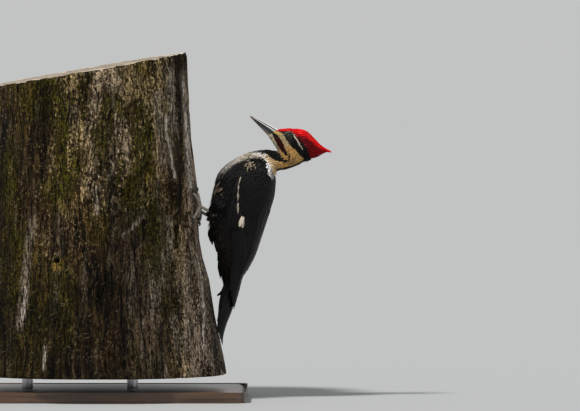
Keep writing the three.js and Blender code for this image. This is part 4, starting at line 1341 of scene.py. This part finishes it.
def lid_ring(side):
    """Points of one eye's lids. Round the eye, a closed path runs from the eyeball's face over the lid's rim,
    out to the face's skin, and back inside."""
    turn = np.linspace(0, 2 * np.pi, 72, endpoint=False)[:, None]
    reach = np.array([3.3, 3.42, 3.6, 3.85, 4.15, 4.45, 4.9, 5.5, 5.9, 5.3, 4.4, 3.6])
    level = np.array([3.2, 3.62, 3.85, 3.9, 3.7, 3.55, 3.3, 2.3, 0.6, 0.2, 0.6, 1.8])
    almond = 1 + 0.07 * np.cos(2 * (turn - 0.5)) * smooth(5.5, 3.6, reach)
    pleat = 0.05 * np.sin(26 * turn + 3 * np.sin(2 * turn)) * smooth(3.6, 5.5, reach)
    x = EYE[0] + reach * almond * np.cos(turn)
    z = EYE[2] + reach * almond * np.sin(turn)
    return np.stack([x, side * (EYE[1] + level + 0.75 + pleat), z], -1) * MM


def make_eyes():
    ball, skin = eye_finish(), lid_finish()
    for side, name in ((-1, "left"), (1, "right")):
        spot = (EYE[0] * MM, side * EYE[1] * MM, EYE[2] * MM)
        radius = EYE_RADIUS * MM
        bpy.ops.mesh.primitive_uv_sphere_add(segments=48, ring_count=32, radius=radius, location=spot)
        eye = bpy.context.object
        eye.name = eye.data.name = f"eye_{name}_ball"
        bpy.ops.object.transform_apply(location=True)
        bpy.ops.object.shade_smooth()
        belongs(eye, ball, "eye", f"eye_{name}")
        grid = lid_ring(side)
        turns, steps = grid.shape[:2]
        here, after = np.arange(steps), (np.arange(steps) + 1) % steps
        last = (turns - 1) * steps
        wrap = np.stack([last + here, last + after, after, here], -1)
        # The right ring is the left one mirrored, so its faces are turned round.
        faces = np.concatenate([surface_faces(turns, steps), wrap])[:, ::-side]
        belongs(mesh_of(f"eyelids_{name}", grid.reshape(-1, 3), faces, 4), skin, "leg")


make_eyes()

# ---- Legs and feet -------------------------------------------------------------------------------

# The left leg's hip, knee, heel and foot.
LEG = [(238, -31, 320), (211.5, -25.5, 301), (214.8, -25.2, 299.6), (198.6, -34, 312)]
RIGHT_FOOT_DROP = 9.0
# How far out and up from the foot each toe reaches, its radius, and its claw's length.
TOES = [(9, -19, 1.7, 7.5), (5, 23, 1.9, 9.0), (-20, 21, 2.1, 10.5), (-25, -21, 2.1, 10.5)]
ANKLE_LIFT, SOLE_GAP, CLAW_DEPTH = 6.0, 0.2, 1.5  # above the trunk's face, and the claws' depth in it


def scaly(form, count, depth):
    """Raises overlapping scutes over a limb, and pads below it."""
    rings, sides = form.points.shape[:2]
    s = np.linspace(0, 1, rings)[:, None]
    turn = np.linspace(0, 2 * np.pi, sides, endpoint=False)[None, :]
    saw = np.mod(s * count, 1)
    rise = depth * (0.35 + 0.65 * saw) * smooth(1.0, 0.9, saw)
    face = 0.5 + 0.5 * np.sin(turn)
    return form.points + form.out * (rise * (0.3 + 0.7 * face))[..., None] * MM


def leg_finish():
    f = Finish("leg", Specular_IOR_Level=0.45)
    cells = f.node("TexVoronoi", {"Vector": f.place(), "Scale": 1300}, feature="DISTANCE_TO_EDGE")
    cells = cells.outputs["Distance"]
    tone = f.blend(f.band(cells, 0.0, 0.25), (0.070, 0.055, 0.042), (0.68, 0.59, 0.46))
    worn = f.band(f.noise(f.place(), 500), 0.4, 0.7)
    tone = f.blend(worn, tone, f.tinted(tone, (0.55, 0.55, 0.56)))
    rough = f.line(f.noise(f.place(), 900), 0.25, 0.35)
    return f.use(Base_Color=tone, Roughness=rough, Normal=f.bump(f.band(cells, 0, 0.3), 0.5, 0.0003))


def claw_finish():
    f = Finish("claw", Specular_IOR_Level=0.45, Coat_Weight=0.3, Coat_Roughness=0.12)
    streak = f.noise(f.place(), 1500, 3)
    tone = f.blend(f.band(streak, 0.3, 0.7), (0.005, 0.0055, 0.007), (0.024, 0.026, 0.031))
    return f.use(Base_Color=tone, Roughness=f.line(streak, 0.2, 0.12),
                 Normal=f.bump(streak, 0.15, 0.0002))


def make_thigh(name, hip, knee):
    path = [hip, hip * 0.6 + knee * 0.4, hip * 0.25 + knee * 0.75, knee + (knee - hip) * 0.1]
    thigh = limb(path, [8, 14.5, 9.5, 4.4], rings=60, sides=60)
    s, a, _ = scatter(thigh, lambda p: np.full(p.shape[:2], 1.9), lambda p: p[..., 0] < 250)
    n = len(s)
    pale = smooth(0.55, 0.9, s) * (chance.random(n) < 0.35)
    tips = paint(THIGH_TIP, np.broadcast_to(BLACK * 1.2, (n, 3)), pale)
    coat = Coat(f"thigh_{name}_coat")
    coat.grow(thigh, s, a, np.interp(s, [0, 1], [11, 6.5]) * between(0.8, 1.1, n), 2.6, flow=1,
              tilt=stray(0.14, n), low=-1.8, high=between(-0.4, 0.5, n), kind=POINTED,
              tint=np.broadcast_to(BLACK, (n, 3)), tips=tips)
    coat.finish(PLUMAGE, "plumage", f"thigh_{name}")


def make_toe(name, side, foot, toe, finishes):
    """One toe and its claw, which follow the trunk's face: toe says how far out and up it reaches, the toe's
    radius and the claw's length."""
    out, up, radius, claw = toe
    root = foot[1:]
    end = root + [-side * out, up]
    run = unit(end - root)

    def on(t):
        y, z = root + (end - root) * t
        lift = ANKLE_LIFT + (radius + SOLE_GAP - ANKLE_LIFT) * t + 2.2 * math.sin(math.pi * min(t, 1))
        return (post_face(y, z) + lift, y, z)

    def hooked(t):
        y, z = end + run * (claw * math.sin(t * math.pi / 2.2) - 1.2)
        lift = radius + SOLE_GAP + 2.4 * math.sin(math.pi * t) - (radius + SOLE_GAP + CLAW_DEPTH) * t**1.6
        return (post_face(y, z) + lift, y, z)

    across = (0, run[1], -run[0])
    steps = np.linspace(0, 1, 9)
    swell = radius * (1.25 - 0.35 * steps) * (1 + 0.10 * np.cos(steps * 2 * np.pi * 3))
    swell[-1] *= 0.82
    form = limb([on(t) for t in steps], swell, rings=110, sides=24, side=across)
    belongs(shell(f"toe_{name}_scales", scaly(form, 12, 0.24)), finishes[0], "leg", f"toe_{name}")
    thin = 2.15 * (1 - steps) ** 0.75 + 0.12
    horn = limb([hooked(t) for t in steps], thin, rings=50, sides=20, flat=0.62, side=across)
    belongs(shell(f"claw_{name}_horn", horn.points), finishes[1], "claw", f"claw_{name}")


def make_legs():
    finishes = leg_finish(), claw_finish()
    for side, name in ((-1, "left"), (1, "right")):
        drop = RIGHT_FOOT_DROP if side > 0 else 0
        hip, knee, heel, foot = (np.array([x, -side * y, z - drop], float) for x, y, z in LEG)
        foot[0] = post_face(foot[1], foot[2]) + ANKLE_LIFT
        make_thigh(name, hip, knee)
        path = [heel + (heel - foot) * 0.15, heel * 0.6 + foot * 0.4, foot]
        shank = limb(path, [2.7, 2.3, 2.7], rings=90, sides=24)
        belongs(shell(f"shank_{name}_scales", scaly(shank, 11, 0.28)), finishes[0], "leg", f"shank_{name}")
        for number, toe in enumerate(TOES):
            make_toe(f"{name}_{number + 1}", side, foot, toe, finishes)


make_legs()

# ---- Trunk ---------------------------------------------------------------------------------------

POST_FOOT = 38.9
POST_TOP, TOP_SLOPE, TOP_LEAN = 559.0, 0.1667, 0.06
TOP_EDGE = 172.0  # x of the top's rim on the bird's side
KNOT = (-26.0, 224.6)
TRUNK_SIDES, TRUNK_RINGS, TOP_RINGS, THREADS = 430, 205, 90, 800
STRAW, DARK_STRAW = np.array([0.36, 0.27, 0.16]), np.array([0.16, 0.11, 0.06])
VIEW_CENTRE, VIEW_DISTANCE = (0.3402, 0.0, 0.31185), 6.0
# Streaks over the side towards the viewer, as seen from there: a path, its reach to each hand, its strength.
MOSS_PATHS = [
    ([(-36, 540), (-36, 506), (-17, 433), (-22, 369), (-46, 290)], 27, 1.0),
    ([(60, 500), (37, 433), (20, 380)], 26, 0.8), ([(112, 530), (100, 480)], 22, 0.8),
    ([(-45, 240), (-30, 150), (-20, 60)], 30, 0.6), ([(60, 330), (20, 240)], 22, 0.4),
]
PALE_PATHS = [
    ([(-74, 310), (-85, 236), (-90, 163), (-101, 95)], 8, 0.75),
    ([(-86, 190), (-92, 140), (-100, 105)], 5, 1.2), ([(-55, 90), (-60, 40)], 4, 1.2),
    ([(26, 350), (28, 320), (27, 290)], 6, 0.8),
    ([(138, 470), (140, 430), (146, 400), (151, 368), (158, 345)], 3.2, 1.5),
    ([(124, 510), (130, 440), (140, 360)], 11, 0.75), ([(110, 300), (88, 280), (64, 258)], 4.5, 0.9),
    ([(184, 250), (192, 222), (198, 185), (201, 138), (198, 50)], 2.7, 1.3),
    ([(146, 300), (143, 220)], 6, 0.6), ([(-12, 480), (-10, 430)], 9, 0.45),
    ([(180, 240), (172, 150), (176, 60)], 9, 0.6), ([(150, 140), (160, 60)], 7, 0.55),
    ([(222, 130), (232, 50)], 3, 0.55),
    ([(164, 545), (170, 483), (175, 402), (180, 345), (184, 300)], 7, 1.0),
    ([(147, 545), (150, 480), (153, 420)], 9, 0.85),
]
DARK_PATHS = [
    ([(-56, 520), (-62, 450), (-66, 400)], 18, 0.8), ([(158, 560), (160, 480)], 7, 1.0),
    ([(158, 545), (163, 433), (161, 310), (150, 250)], 4.5, 1.0),
    ([(57, 170), (60, 100), (62, 30)], 24, 0.9), ([(-48, 170), (-36, 100), (-30, 20)], 26, 0.95),
    ([(6, 190), (8, 100), (10, 20)], 24, 0.85), ([(-150, 330), (-140, 200)], 22, 0.7),
    ([(-122, 290), (-120, 150), (-118, 30)], 24, 0.8), ([(206, 200), (217, 110), (230, 30)], 9, 0.85),
    ([(18, 240), (16, 150), (14, 60)], 20, 0.6), ([(100, 250), (96, 200), (104, 120)], 14, 0.5),
]


def grain(p, seed):
    """The weathered wood's outward rise at points in millimetres, with flutes, fissures and fine grain."""
    warp = [cloud(p / [150, 150, 260], seed + layer) for layer in (1, 2)]
    q = p + (np.stack([*warp, 0 * p[..., 0]], -1) - 0.5) * 70
    broad = (cloud(q / [70, 70, 420], seed + 3) - 0.5) * 9
    ridge = 1 - np.abs(2 * cloud(q / [15, 15, 190], seed + 4, 3) - 1)
    crack = smooth(0.88, 0.985, 1 - np.abs(2 * cloud(q / [26, 26, 300], seed + 5, 3) - 1))
    fine = cloud(q / [4.5, 4.5, 70], seed + 6, 3) - 0.5
    return broad + (ridge - 0.7) * 2.2 - crack * 3.4 + fine * 1.7


def top_level(x, y):
    """z of the sawn top."""
    return POST_TOP - TOP_SLOPE * (TOP_EDGE - x) + TOP_LEAN * y


def from_knot(x, y, z):
    """How far from the knot, which lies on the viewer's side."""
    return np.hypot(x - KNOT[0], z - KNOT[1]) + 99 * (y > 0)


def trunk_points(sides, rings):
    """The trunk's side: rings of points in millimetres from its foot up to its rim."""
    turn = np.linspace(0, 2 * np.pi, sides, endpoint=False)[None, :]
    turn = turn - 0.42 * np.sin(turn + 0.9)  # finer towards the viewer and the bird
    share = np.linspace(0, 1, rings)[:, None]
    cos, sin = np.cos(turn), np.sin(turn)

    def at(z):
        flutes = 3.2 * np.sin(5 * turn + z / 160) + 2.2 * np.sin(9 * turn - z / 90) - 2.4
        reach = post_radius(z) + (1 - cos) / 2 * flutes
        return post_middle(z) + reach * cos, reach * sin

    z = POST_FOOT + (top_level(*at(POST_TOP)) - POST_FOOT) * share
    base = np.stack([*at(z), z], -1)
    # grain that is held down where the bird's feet and tail lie, the knot's hole, and worn edges
    relief = np.minimum(grain(base, 40), 1.0)
    held = smooth(0.55, 0.15, np.abs(np.angle(np.exp(1j * turn)))) * smooth(60, 90, z) * smooth(400, 350, z)
    knot = from_knot(*np.moveaxis(base, -1, 0))
    relief = relief * (1 - 0.8 * held) - 0.3 - 9 * smooth(4.8, 2.6, knot) + 1.6 * smooth(14, 6, knot)
    edge = 2.2 * smooth(0.988, 1.0, share) + 1.2 * smooth(0.006, 0.0, share)
    chips = smooth(0.5, 0.75, cloud(base / 9, 71, 2)) * smooth(0.965, 1.0, share) * 2.5
    points = base + np.stack([cos + 0 * z, sin + 0 * z, 0 * z], -1) * (relief - edge - chips)[..., None]
    points[..., 2] += 5 * (cloud(base / 17, 73, 4) - 0.55) * smooth(0.975, 1.0, share)  # splinters
    return points


def trunk_cap(rim, inward):
    """The sawn top, from its rim in to its centre, with end grain and deep checks."""
    x, y = post_middle(POST_TOP) + 6, 4
    centre = np.array([x, y, top_level(x, y)])
    cap = rim * (1 - inward) + centre * inward
    dx, dy = cap[..., 0] - x, cap[..., 1] - y
    rough = (cloud(cap / 22, 77, 4) - 0.5) * 3.4
    spokes = np.abs(np.cos(np.arctan2(dy, dx) * 4.5 + 2.2 * cloud(cap / 120, 79)))
    check = smooth(0.955, 0.995, spokes) * smooth(12, 60, np.hypot(dx, dy))
    cap[..., 2] += (rough - check * 5.0) * smooth(0, 0.03, inward[..., 0])
    return cap


def mark_trunk(piece):
    """Stores where the wood is mossy, pale or ochre, and how dark, flecked or grey it is."""
    p = points_of(piece) / MM
    x, y, z = p.T
    hole = from_knot(x, y, z)
    lichen = np.hypot((x - KNOT[0]) * 1.3, z - KNOT[1] + 6)
    # places as the camera sees them, which is how the streaks' paths are drawn
    nearer = VIEW_DISTANCE / (VIEW_DISTANCE + np.minimum(y, 0) * MM)
    x = VIEW_CENTRE[0] / MM + (x - VIEW_CENTRE[0] / MM) * nearer
    z = VIEW_CENTRE[2] / MM + (z - VIEW_CENTRE[2] / MM) * nearer
    front = smooth(60, -20, y)
    wander = 9 * (cloud(p / [14, 14, 60], 53) - 0.5)
    zone = lambda size, seed, low, high: smooth(low, high, cloud(p / size, seed))

    def along(paths):
        """The strength of streaks along paths with a reach each, where they face the viewer."""
        total = np.zeros(len(p))
        for path, reach, strength in paths:
            away, t = to_path(path, x, z)
            fade = strength * smooth(0, 0.15, t) * smooth(1, 0.85, t)
            away = away + wander * min(1, reach / 7)
            total = np.maximum(total, fade * smooth(reach * 1.4, reach * 0.2, away))
        return total * front

    moss = 0.9 * zone([50, 50, 120], 51, 0.48, 0.68) * smooth(200, 110, x) * (0.4 + 0.6 * smooth(40, 300, z))
    moss = np.maximum(moss, along(MOSS_PATHS))
    # pale streaks, more of them towards the right edge, where painted light adds to the bleaching
    swirled = (p + 40 * cloud(p / 120, 5)[:, None]) / [13, 13, 230]
    pale = smooth(0.58, 0.78, cloud(swirled, 52)) * (0.3 + 0.5 * smooth(40, 190, x))
    pale = np.maximum(pale, along(PALE_PATHS))
    ochre = 0.5 * zone(26, 54, 0.6, 0.72) * moss + smooth(15, 8, lichen + wander) * front
    ochre = ochre * smooth(3.4, 5.0, hole)
    # dark patches in the wood, deepened with painted shade towards the left side, low on it and along its
    # upper left
    dark = 0.65 * zone([30, 30, 260], 55, 0.5, 0.7) * smooth(210, 60, x)
    dark = dark + 0.35 * smooth(260, 120, z) * smooth(130, 60, x)
    dark = np.maximum(dark + 0.2 * smooth(-40, -110, x) * smooth(470, 400, z), along(DARK_PATHS))
    # painted shade inside the knot's hole
    dark = np.maximum(dark, 1.25 * smooth(5.0, 3.4, hole))
    # tan flecks in given places, and towards the right edge, where they add painted light
    flecks = 0.8 * smooth(-80, -10, x) * smooth(240, 340, z) * smooth(165, 125, x)
    flecks = np.maximum(flecks, 0.8 * smooth(138, 156, x) * smooth(340, 280, z))
    flecks = np.maximum(np.maximum(flecks, 0.75 * smooth(160, 172, x)), 0.22 * smooth(40, 0, x))
    flecks = flecks * (0.35 + 1.0 * zone([17, 17, 42], 57, 0.38, 0.60)) + 0.12 - 0.4 * dark
    smoother = smooth(55, 85, x) * smooth(150, 132, x) * smooth(335, 285, z)
    # greyer towards the right edge: weathering, with painted light there
    grey = np.maximum(smooth(150, 195, x) * 0.8, 0.5 * zone([40, 40, 200], 56, 0.55, 0.7))
    grey = np.maximum(grey, 0.9 * smoother)
    vector(piece, "tone", np.clip(np.stack([moss, pale, ochre], -1), 0, 1.25))
    vector(piece, "shade", np.clip(np.stack([dark, flecks, grey], -1), 0, 1.25))


def make_threads(points):
    """Loose straws and threads that cling to the bark."""
    threads = Coat("trunk_threads")
    n = THREADS
    s, a = between(0.05, 0.97, n), np.mod(between(0.42, 1.02, n), 1)
    tone = paint(STRAW, DARK_STRAW, chance.random(n))
    threads.grow(Form(points * MM), s, a, between(4, 13, n), between(0.3, 0.5, n), flow=1,
                 tilt=chance.normal(0.9, 0.7, n), low=0.1, high=between(0.2, 0.7, n), kind=SLIM,
                 bend=stray(0.15, n), tint=tone)
    threads.finish(PLUMAGE, "post")


def make_trunk():
    points = trunk_points(TRUNK_SIDES, TRUNK_RINGS)
    inward = np.linspace(0, 1, TOP_RINGS)[:, None, None]
    cap = trunk_cap(points[-1][None], inward)
    inward = inward[::6]
    sole = points[0][None] * (1 - inward) + np.array([post_middle(POST_FOOT), 0, POST_FOOT]) * inward
    pieces = []
    for name, grid, way in (("trunk_side", points, 1), ("trunk_top", cap, 1), ("trunk_sole", sole, -1)):
        faces = surface_faces(len(grid), TRUNK_SIDES)[:, ::way]
        pieces.append(mesh_of(name, grid.reshape(-1, 3) * MM, faces, 4))
    for piece in pieces:
        mark_trunk(piece)
    make_threads(points)
    belongs(pieces[0], trunk_finish(), "post", "perch_post")
    belongs(pieces[1], top_finish(), "post")
    belongs(pieces[2], top_finish(), "post")


def trunk_finish():
    """Brown weathered wood with moss, pale streaks, tan flecks, ochre lichen, and fissures and fibre gaps
    darkened with painted shade.
    """
    f = Finish("weathered_wood", Specular_IOR_Level=0.08)
    # The dark share holds painted shade as well as the wood's own dark streaks; near the right edge the pale,
    # grey and fleck shares hold painted light as well as the wood's own colour.
    moss, pale, ochre = f.node("SeparateXYZ", {0: f.attribute("tone", "Vector")}).outputs
    dark, flecks, grey = f.node("SeparateXYZ", {0: f.attribute("shade", "Vector")}).outputs
    # darkens by a tint: for the wood's stains and for painted shade
    stain_and_shade = lambda base, share, tint: f.blend(share, base, f.tinted(base, tint))
    warp = f.node("TexNoise", {"Vector": f.place((1, 1, 0.5)), "Scale": 9.0, "Detail": 3.0}).outputs["Color"]
    shift = f.node("VectorMath", {0: warp, 1: (0.05, 0.05, 0.0)}, operation="MULTIPLY").outputs[0]
    drawn = lambda high, *noise_: f.noise(f.place((1, 1, high), shift), *noise_)
    streak, fibre = drawn(0.07, 95, 6, 0.62), drawn(0.05, 520, 5, 0.65)
    speck, chip, crumb = drawn(0.75, 400, 5, 0.75), drawn(0.62, 280, 6, 0.8), drawn(0.7, 260, 3, 0.6)
    blotch = f.noise(f.place(), 30, 4)
    # bark in brown, reddish and grey
    streaky = f.band(streak, 0.41, 0.60)
    base = f.blend(streaky, (0.012, 0.0075, 0.0030), (0.100, 0.065, 0.026))
    base = stain_and_shade(base, f.band(blotch, 0.4, 0.65), (0.92, 0.76, 0.68))
    base = f.blend(f.times(grey, 0.75), base, f.blend(streaky, (0.018, 0.0125, 0.008), (0.140, 0.099, 0.066)))
    # moss
    green = f.blend(f.band(speck, 0.42, 0.62), (0.018, 0.016, 0.0012), (0.145, 0.122, 0.009))
    mossy = f.band(f.plus(chip, f.times(blotch, 0.3)), 0.40, 0.62)
    base = f.blend(f.times(moss, mossy), base, green)
    # tan and pinkish flecks
    mottle = f.band(speck, 0.35, 0.65)
    tan = f.blend(mottle, (0.22, 0.145, 0.055), (0.74, 0.55, 0.29))
    pink = f.blend(mottle, (0.26, 0.185, 0.135), (0.80, 0.64, 0.52))
    level = f.plus(chip, f.less(f.times(flecks, 0.16), f.times(moss, 0.055)))
    base = f.blend(f.times(f.band(level, 0.61, 0.655), 0.95), base, f.blend(grey, tan, pink))
    # bleached streaks, the strongest of which are almost white; near the right edge they also hold painted
    # light
    bleached = f.blend(f.band(fibre, 0.36, 0.62), (0.14, 0.105, 0.072), (0.60, 0.50, 0.385))
    broken = f.band(f.plus(speck, f.times(pale, 0.12)), 0.42, 0.60)
    base = f.blend(f.times(pale, broken), base, bleached)
    bright = f.blend(f.band(fibre, 0.38, 0.56), (0.30, 0.235, 0.175), (0.82, 0.73, 0.63))
    base = f.blend(f.band(f.plus(pale, f.times(speck, 0.3)), 1.02, 1.2), base, bright)
    # dark crumbs and ochre lichen
    base = stain_and_shade(base, f.band(crumb, 0.55, 0.40), (0.30, 0.28, 0.26))
    gold = f.blend(f.band(fibre, 0.3, 0.7), (0.17, 0.105, 0.018), (0.46, 0.30, 0.06))
    base = f.blend(f.times(ochre, f.band(speck, 0.42, 0.54)), base, gold)
    # painted shade in the gaps between the fibres and in the fissures, then the dark streaks, which are
    # partly painted shade
    base = stain_and_shade(base, f.band(fibre, 0.51, 0.41), (0.20, 0.18, 0.16))
    split = f.band(f.sums("ABSOLUTE", f.less(drawn(0.06, 150, 4, 0.5), 0.5)), 0.022, 0.006)
    base = stain_and_shade(base, f.times(split, 0.85), (0.12, 0.11, 0.10))
    base = stain_and_shade(base, f.sums("MULTIPLY", dark, 0.8, clamp=True), (0.16, 0.15, 0.13))
    height = f.line(f.less(streak, f.times(split, 0.4)), 0.7, f.line(fibre, 0.7, f.times(chip, 0.5)))
    return f.use(Base_Color=base, Roughness=f.line(speck, 0.25, 0.68), Normal=f.bump(height, 1.0, 0.005))


def top_finish():
    """Grey end grain with fine rings, and a broken rim, pale from bleaching by the sun and from painted
    light.
    """
    f = Finish("bleached_end_grain", Specular_IOR_Level=0.1)
    x, y, _ = f.node("SeparateXYZ", {0: f.place()}).outputs
    far = f.far(x, y)
    wander = f.times(f.noise(f.place(), 9, 2), 0.03)
    ring = f.node("CombineXYZ", {0: f.plus(far, wander)}).outputs[0]
    rings = f.noise(ring, 330, 3, 0.7)
    fleck, wide = f.noise(f.place(), 420, 4, 0.7), f.noise(f.place(), 26, 4)
    tone = f.line(rings, 0.55, f.times(wide, 0.6))
    base = f.blend(f.band(tone, 0.38, 0.72), (0.115, 0.088, 0.062), (0.36, 0.30, 0.235))
    # the rim: bleached wood, lightened further with painted light
    rim = f.band(f.plus(far, f.times(wide, 0.02)), 0.158, 0.178)
    broken = f.band(f.noise(f.place(), 75, 4, 0.6), 0.40, 0.47)
    base = f.blend(rim, base, f.blend(broken, (0.14, 0.105, 0.075), (0.50, 0.445, 0.39)))
    base = f.blend(f.band(fleck, 0.46, 0.34), base, f.tinted(base, (0.5, 0.46, 0.42)))
    rough = f.line(fleck, 0.2, 0.7)
    return f.use(Base_Color=base, Roughness=rough, Normal=f.bump(fleck, 0.6, 0.001))


make_trunk()

# ---- Stand ---------------------------------------------------------------------------------------

BOARD, BOARD_CORNER = (540, 320, 16), 18.0
ROD_RADIUS, ROD_SPACING = 9.0, 170.0
HARD_EDGE, SMOOTH_UNDER = math.radians(50), math.radians(35)


def rounded(piece, width, segments):
    """Rounds a hard-edged piece's edges and shades its faces smooth."""
    apply(piece, "BEVEL", width=width, segments=segments, limit_method="ANGLE", angle_limit=HARD_EDGE)
    choose(piece)
    bpy.ops.object.shade_smooth_by_angle(angle=SMOOTH_UNDER)


def wood_finish():
    f = Finish("stained_board", Specular_IOR_Level=0.5, Coat_Weight=0.3, Coat_Roughness=0.22)
    line = f.noise(f.place((0.06, 1, 1)), 130, 5, 0.6)
    pore = f.noise(f.place((0.03, 1, 1)), 900, 3, 0.6)
    tone = f.blend(f.band(line, 0.35, 0.65), (0.030, 0.014, 0.007), (0.088, 0.043, 0.021))
    tone = f.blend(f.times(f.band(pore, 0.58, 0.7), 0.6), tone, (0.010, 0.005, 0.003))
    return f.use(Base_Color=tone, Roughness=f.line(line, 0.2, 0.28), Normal=f.bump(pore, 0.12, 0.0004))


def rod_finish():
    f = Finish("brushed_rod", Metallic=1.0)
    lines = f.noise(f.place((1, 1, 40)), 60, 4)
    tone = f.blend(f.band(lines, 0.3, 0.7), (0.48, 0.48, 0.50), (0.68, 0.68, 0.70))
    return f.use(Base_Color=tone, Roughness=f.line(lines, 0.25, 0.18), Normal=f.bump(lines, 0.08, 0.0002))


def make_stand():
    bpy.ops.mesh.primitive_cube_add(size=1, location=(0, 0, BOARD[2] / 2 * MM))
    board = bpy.context.object
    board.scale = [side * MM for side in BOARD]
    bpy.ops.object.transform_apply(location=True, rotation=True, scale=True)
    board.name = board.data.name = "stand_board_wood"
    bpy.ops.object.mode_set(mode="EDIT")
    bpy.ops.mesh.select_all(action="DESELECT")
    bpy.ops.object.mode_set(mode="OBJECT")
    for edge in board.data.edges:
        a, b = (board.data.vertices[i].co for i in edge.vertices)
        edge.select = abs(a.z - b.z) > BOARD[2] / 2 * MM
    bpy.ops.object.mode_set(mode="EDIT")
    bpy.ops.mesh.select_mode(type="EDGE")
    bpy.ops.mesh.bevel(offset=BOARD_CORNER * MM, segments=12, affect="EDGES")
    bpy.ops.object.mode_set(mode="OBJECT")
    rounded(board, 2.2 * MM, 4)
    belongs(board, wood_finish(), "board", "stand_board")

    steel = rod_finish()
    for number, side in ((1, -1), (2, 1)):
        low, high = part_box(f"stand_rod_{number}")
        middle = (side * ROD_SPACING / 2 * MM, 0, (low.z + high.z) / 2)
        bpy.ops.mesh.primitive_cylinder_add(
            vertices=64, radius=ROD_RADIUS * MM, depth=high.z - low.z, location=middle
        )
        rod = bpy.context.object
        rod.name = rod.data.name = f"stand_rod_{number}_steel"
        bpy.ops.object.transform_apply(location=True)
        rounded(rod, 0.8 * MM, 3)
        belongs(rod, steel, "rod", f"stand_rod_{number}")


make_stand()

# ---- Camera, light and floor ---------------------------------------------------------------------

VIEW_WIDTH, SENSOR = 0.9396, 36.0
BACKGROUND, FLOOR = (0.54, 0.55, 0.545), (0.336, 0.345, 0.353)
FLOOR_REACH, FLOOR_LEVEL = 40, -0.0004
# Place, strength, width in degrees and colour of each lamp.
KEY = (-0.42, -0.34, 0.84), 3.8, 8, (1.0, 0.975, 0.93)
FILL = (0.75, -0.60, 0.35), 0.5, 40, (0.95, 0.97, 1.0)


def aim(thing, at):
    thing.rotation_euler = (Vector(at) - thing.location).to_track_quat("-Z", "Y").to_euler()


def make_view():
    camera = bpy.data.objects.new("camera", bpy.data.cameras.new("camera"))
    SCENE.collection.objects.link(camera)
    camera.data.sensor_width = SENSOR
    camera.data.lens = SENSOR * VIEW_DISTANCE / VIEW_WIDTH
    camera.data.clip_end = 100
    camera.location = (VIEW_CENTRE[0], -VIEW_DISTANCE, VIEW_CENTRE[2])
    aim(camera, VIEW_CENTRE)
    SCENE.camera = camera


def make_light():
    for name, (place, strength, spread, tint) in (("key", KEY), ("fill", FILL)):
        lamp = bpy.data.lights.new(name, "SUN")
        lamp.energy, lamp.angle, lamp.color = strength, math.radians(spread), tint
        light = bpy.data.objects.new(name, lamp)
        SCENE.collection.objects.link(light)
        light.location = place
        aim(light, (0, 0, 0))
    world = bpy.data.worlds.new("studio")
    world.use_nodes = True
    world.node_tree.nodes["Background"].inputs[0].default_value = (*BACKGROUND, 1)
    world.node_tree.nodes["Background"].inputs[1].default_value = 1.0
    SCENE.world = world
    SCENE.view_settings.view_transform = "Standard"


def make_floor():
    centre = (0, 0, FLOOR_LEVEL)
    bpy.ops.mesh.primitive_circle_add(vertices=96, radius=FLOOR_REACH, fill_type="NGON", location=centre)
    floor = bpy.context.object
    floor.name = floor.data.name = "floor"
    bpy.ops.object.transform_apply(location=True)
    f = Finish("floor", Roughness=1.0, Specular_IOR_Level=0.0)
    f.shader.inputs["Base Color"].default_value = (*FLOOR, 1)
    floor.data.materials.append(f.material)


make_view()
make_light()
make_floor()
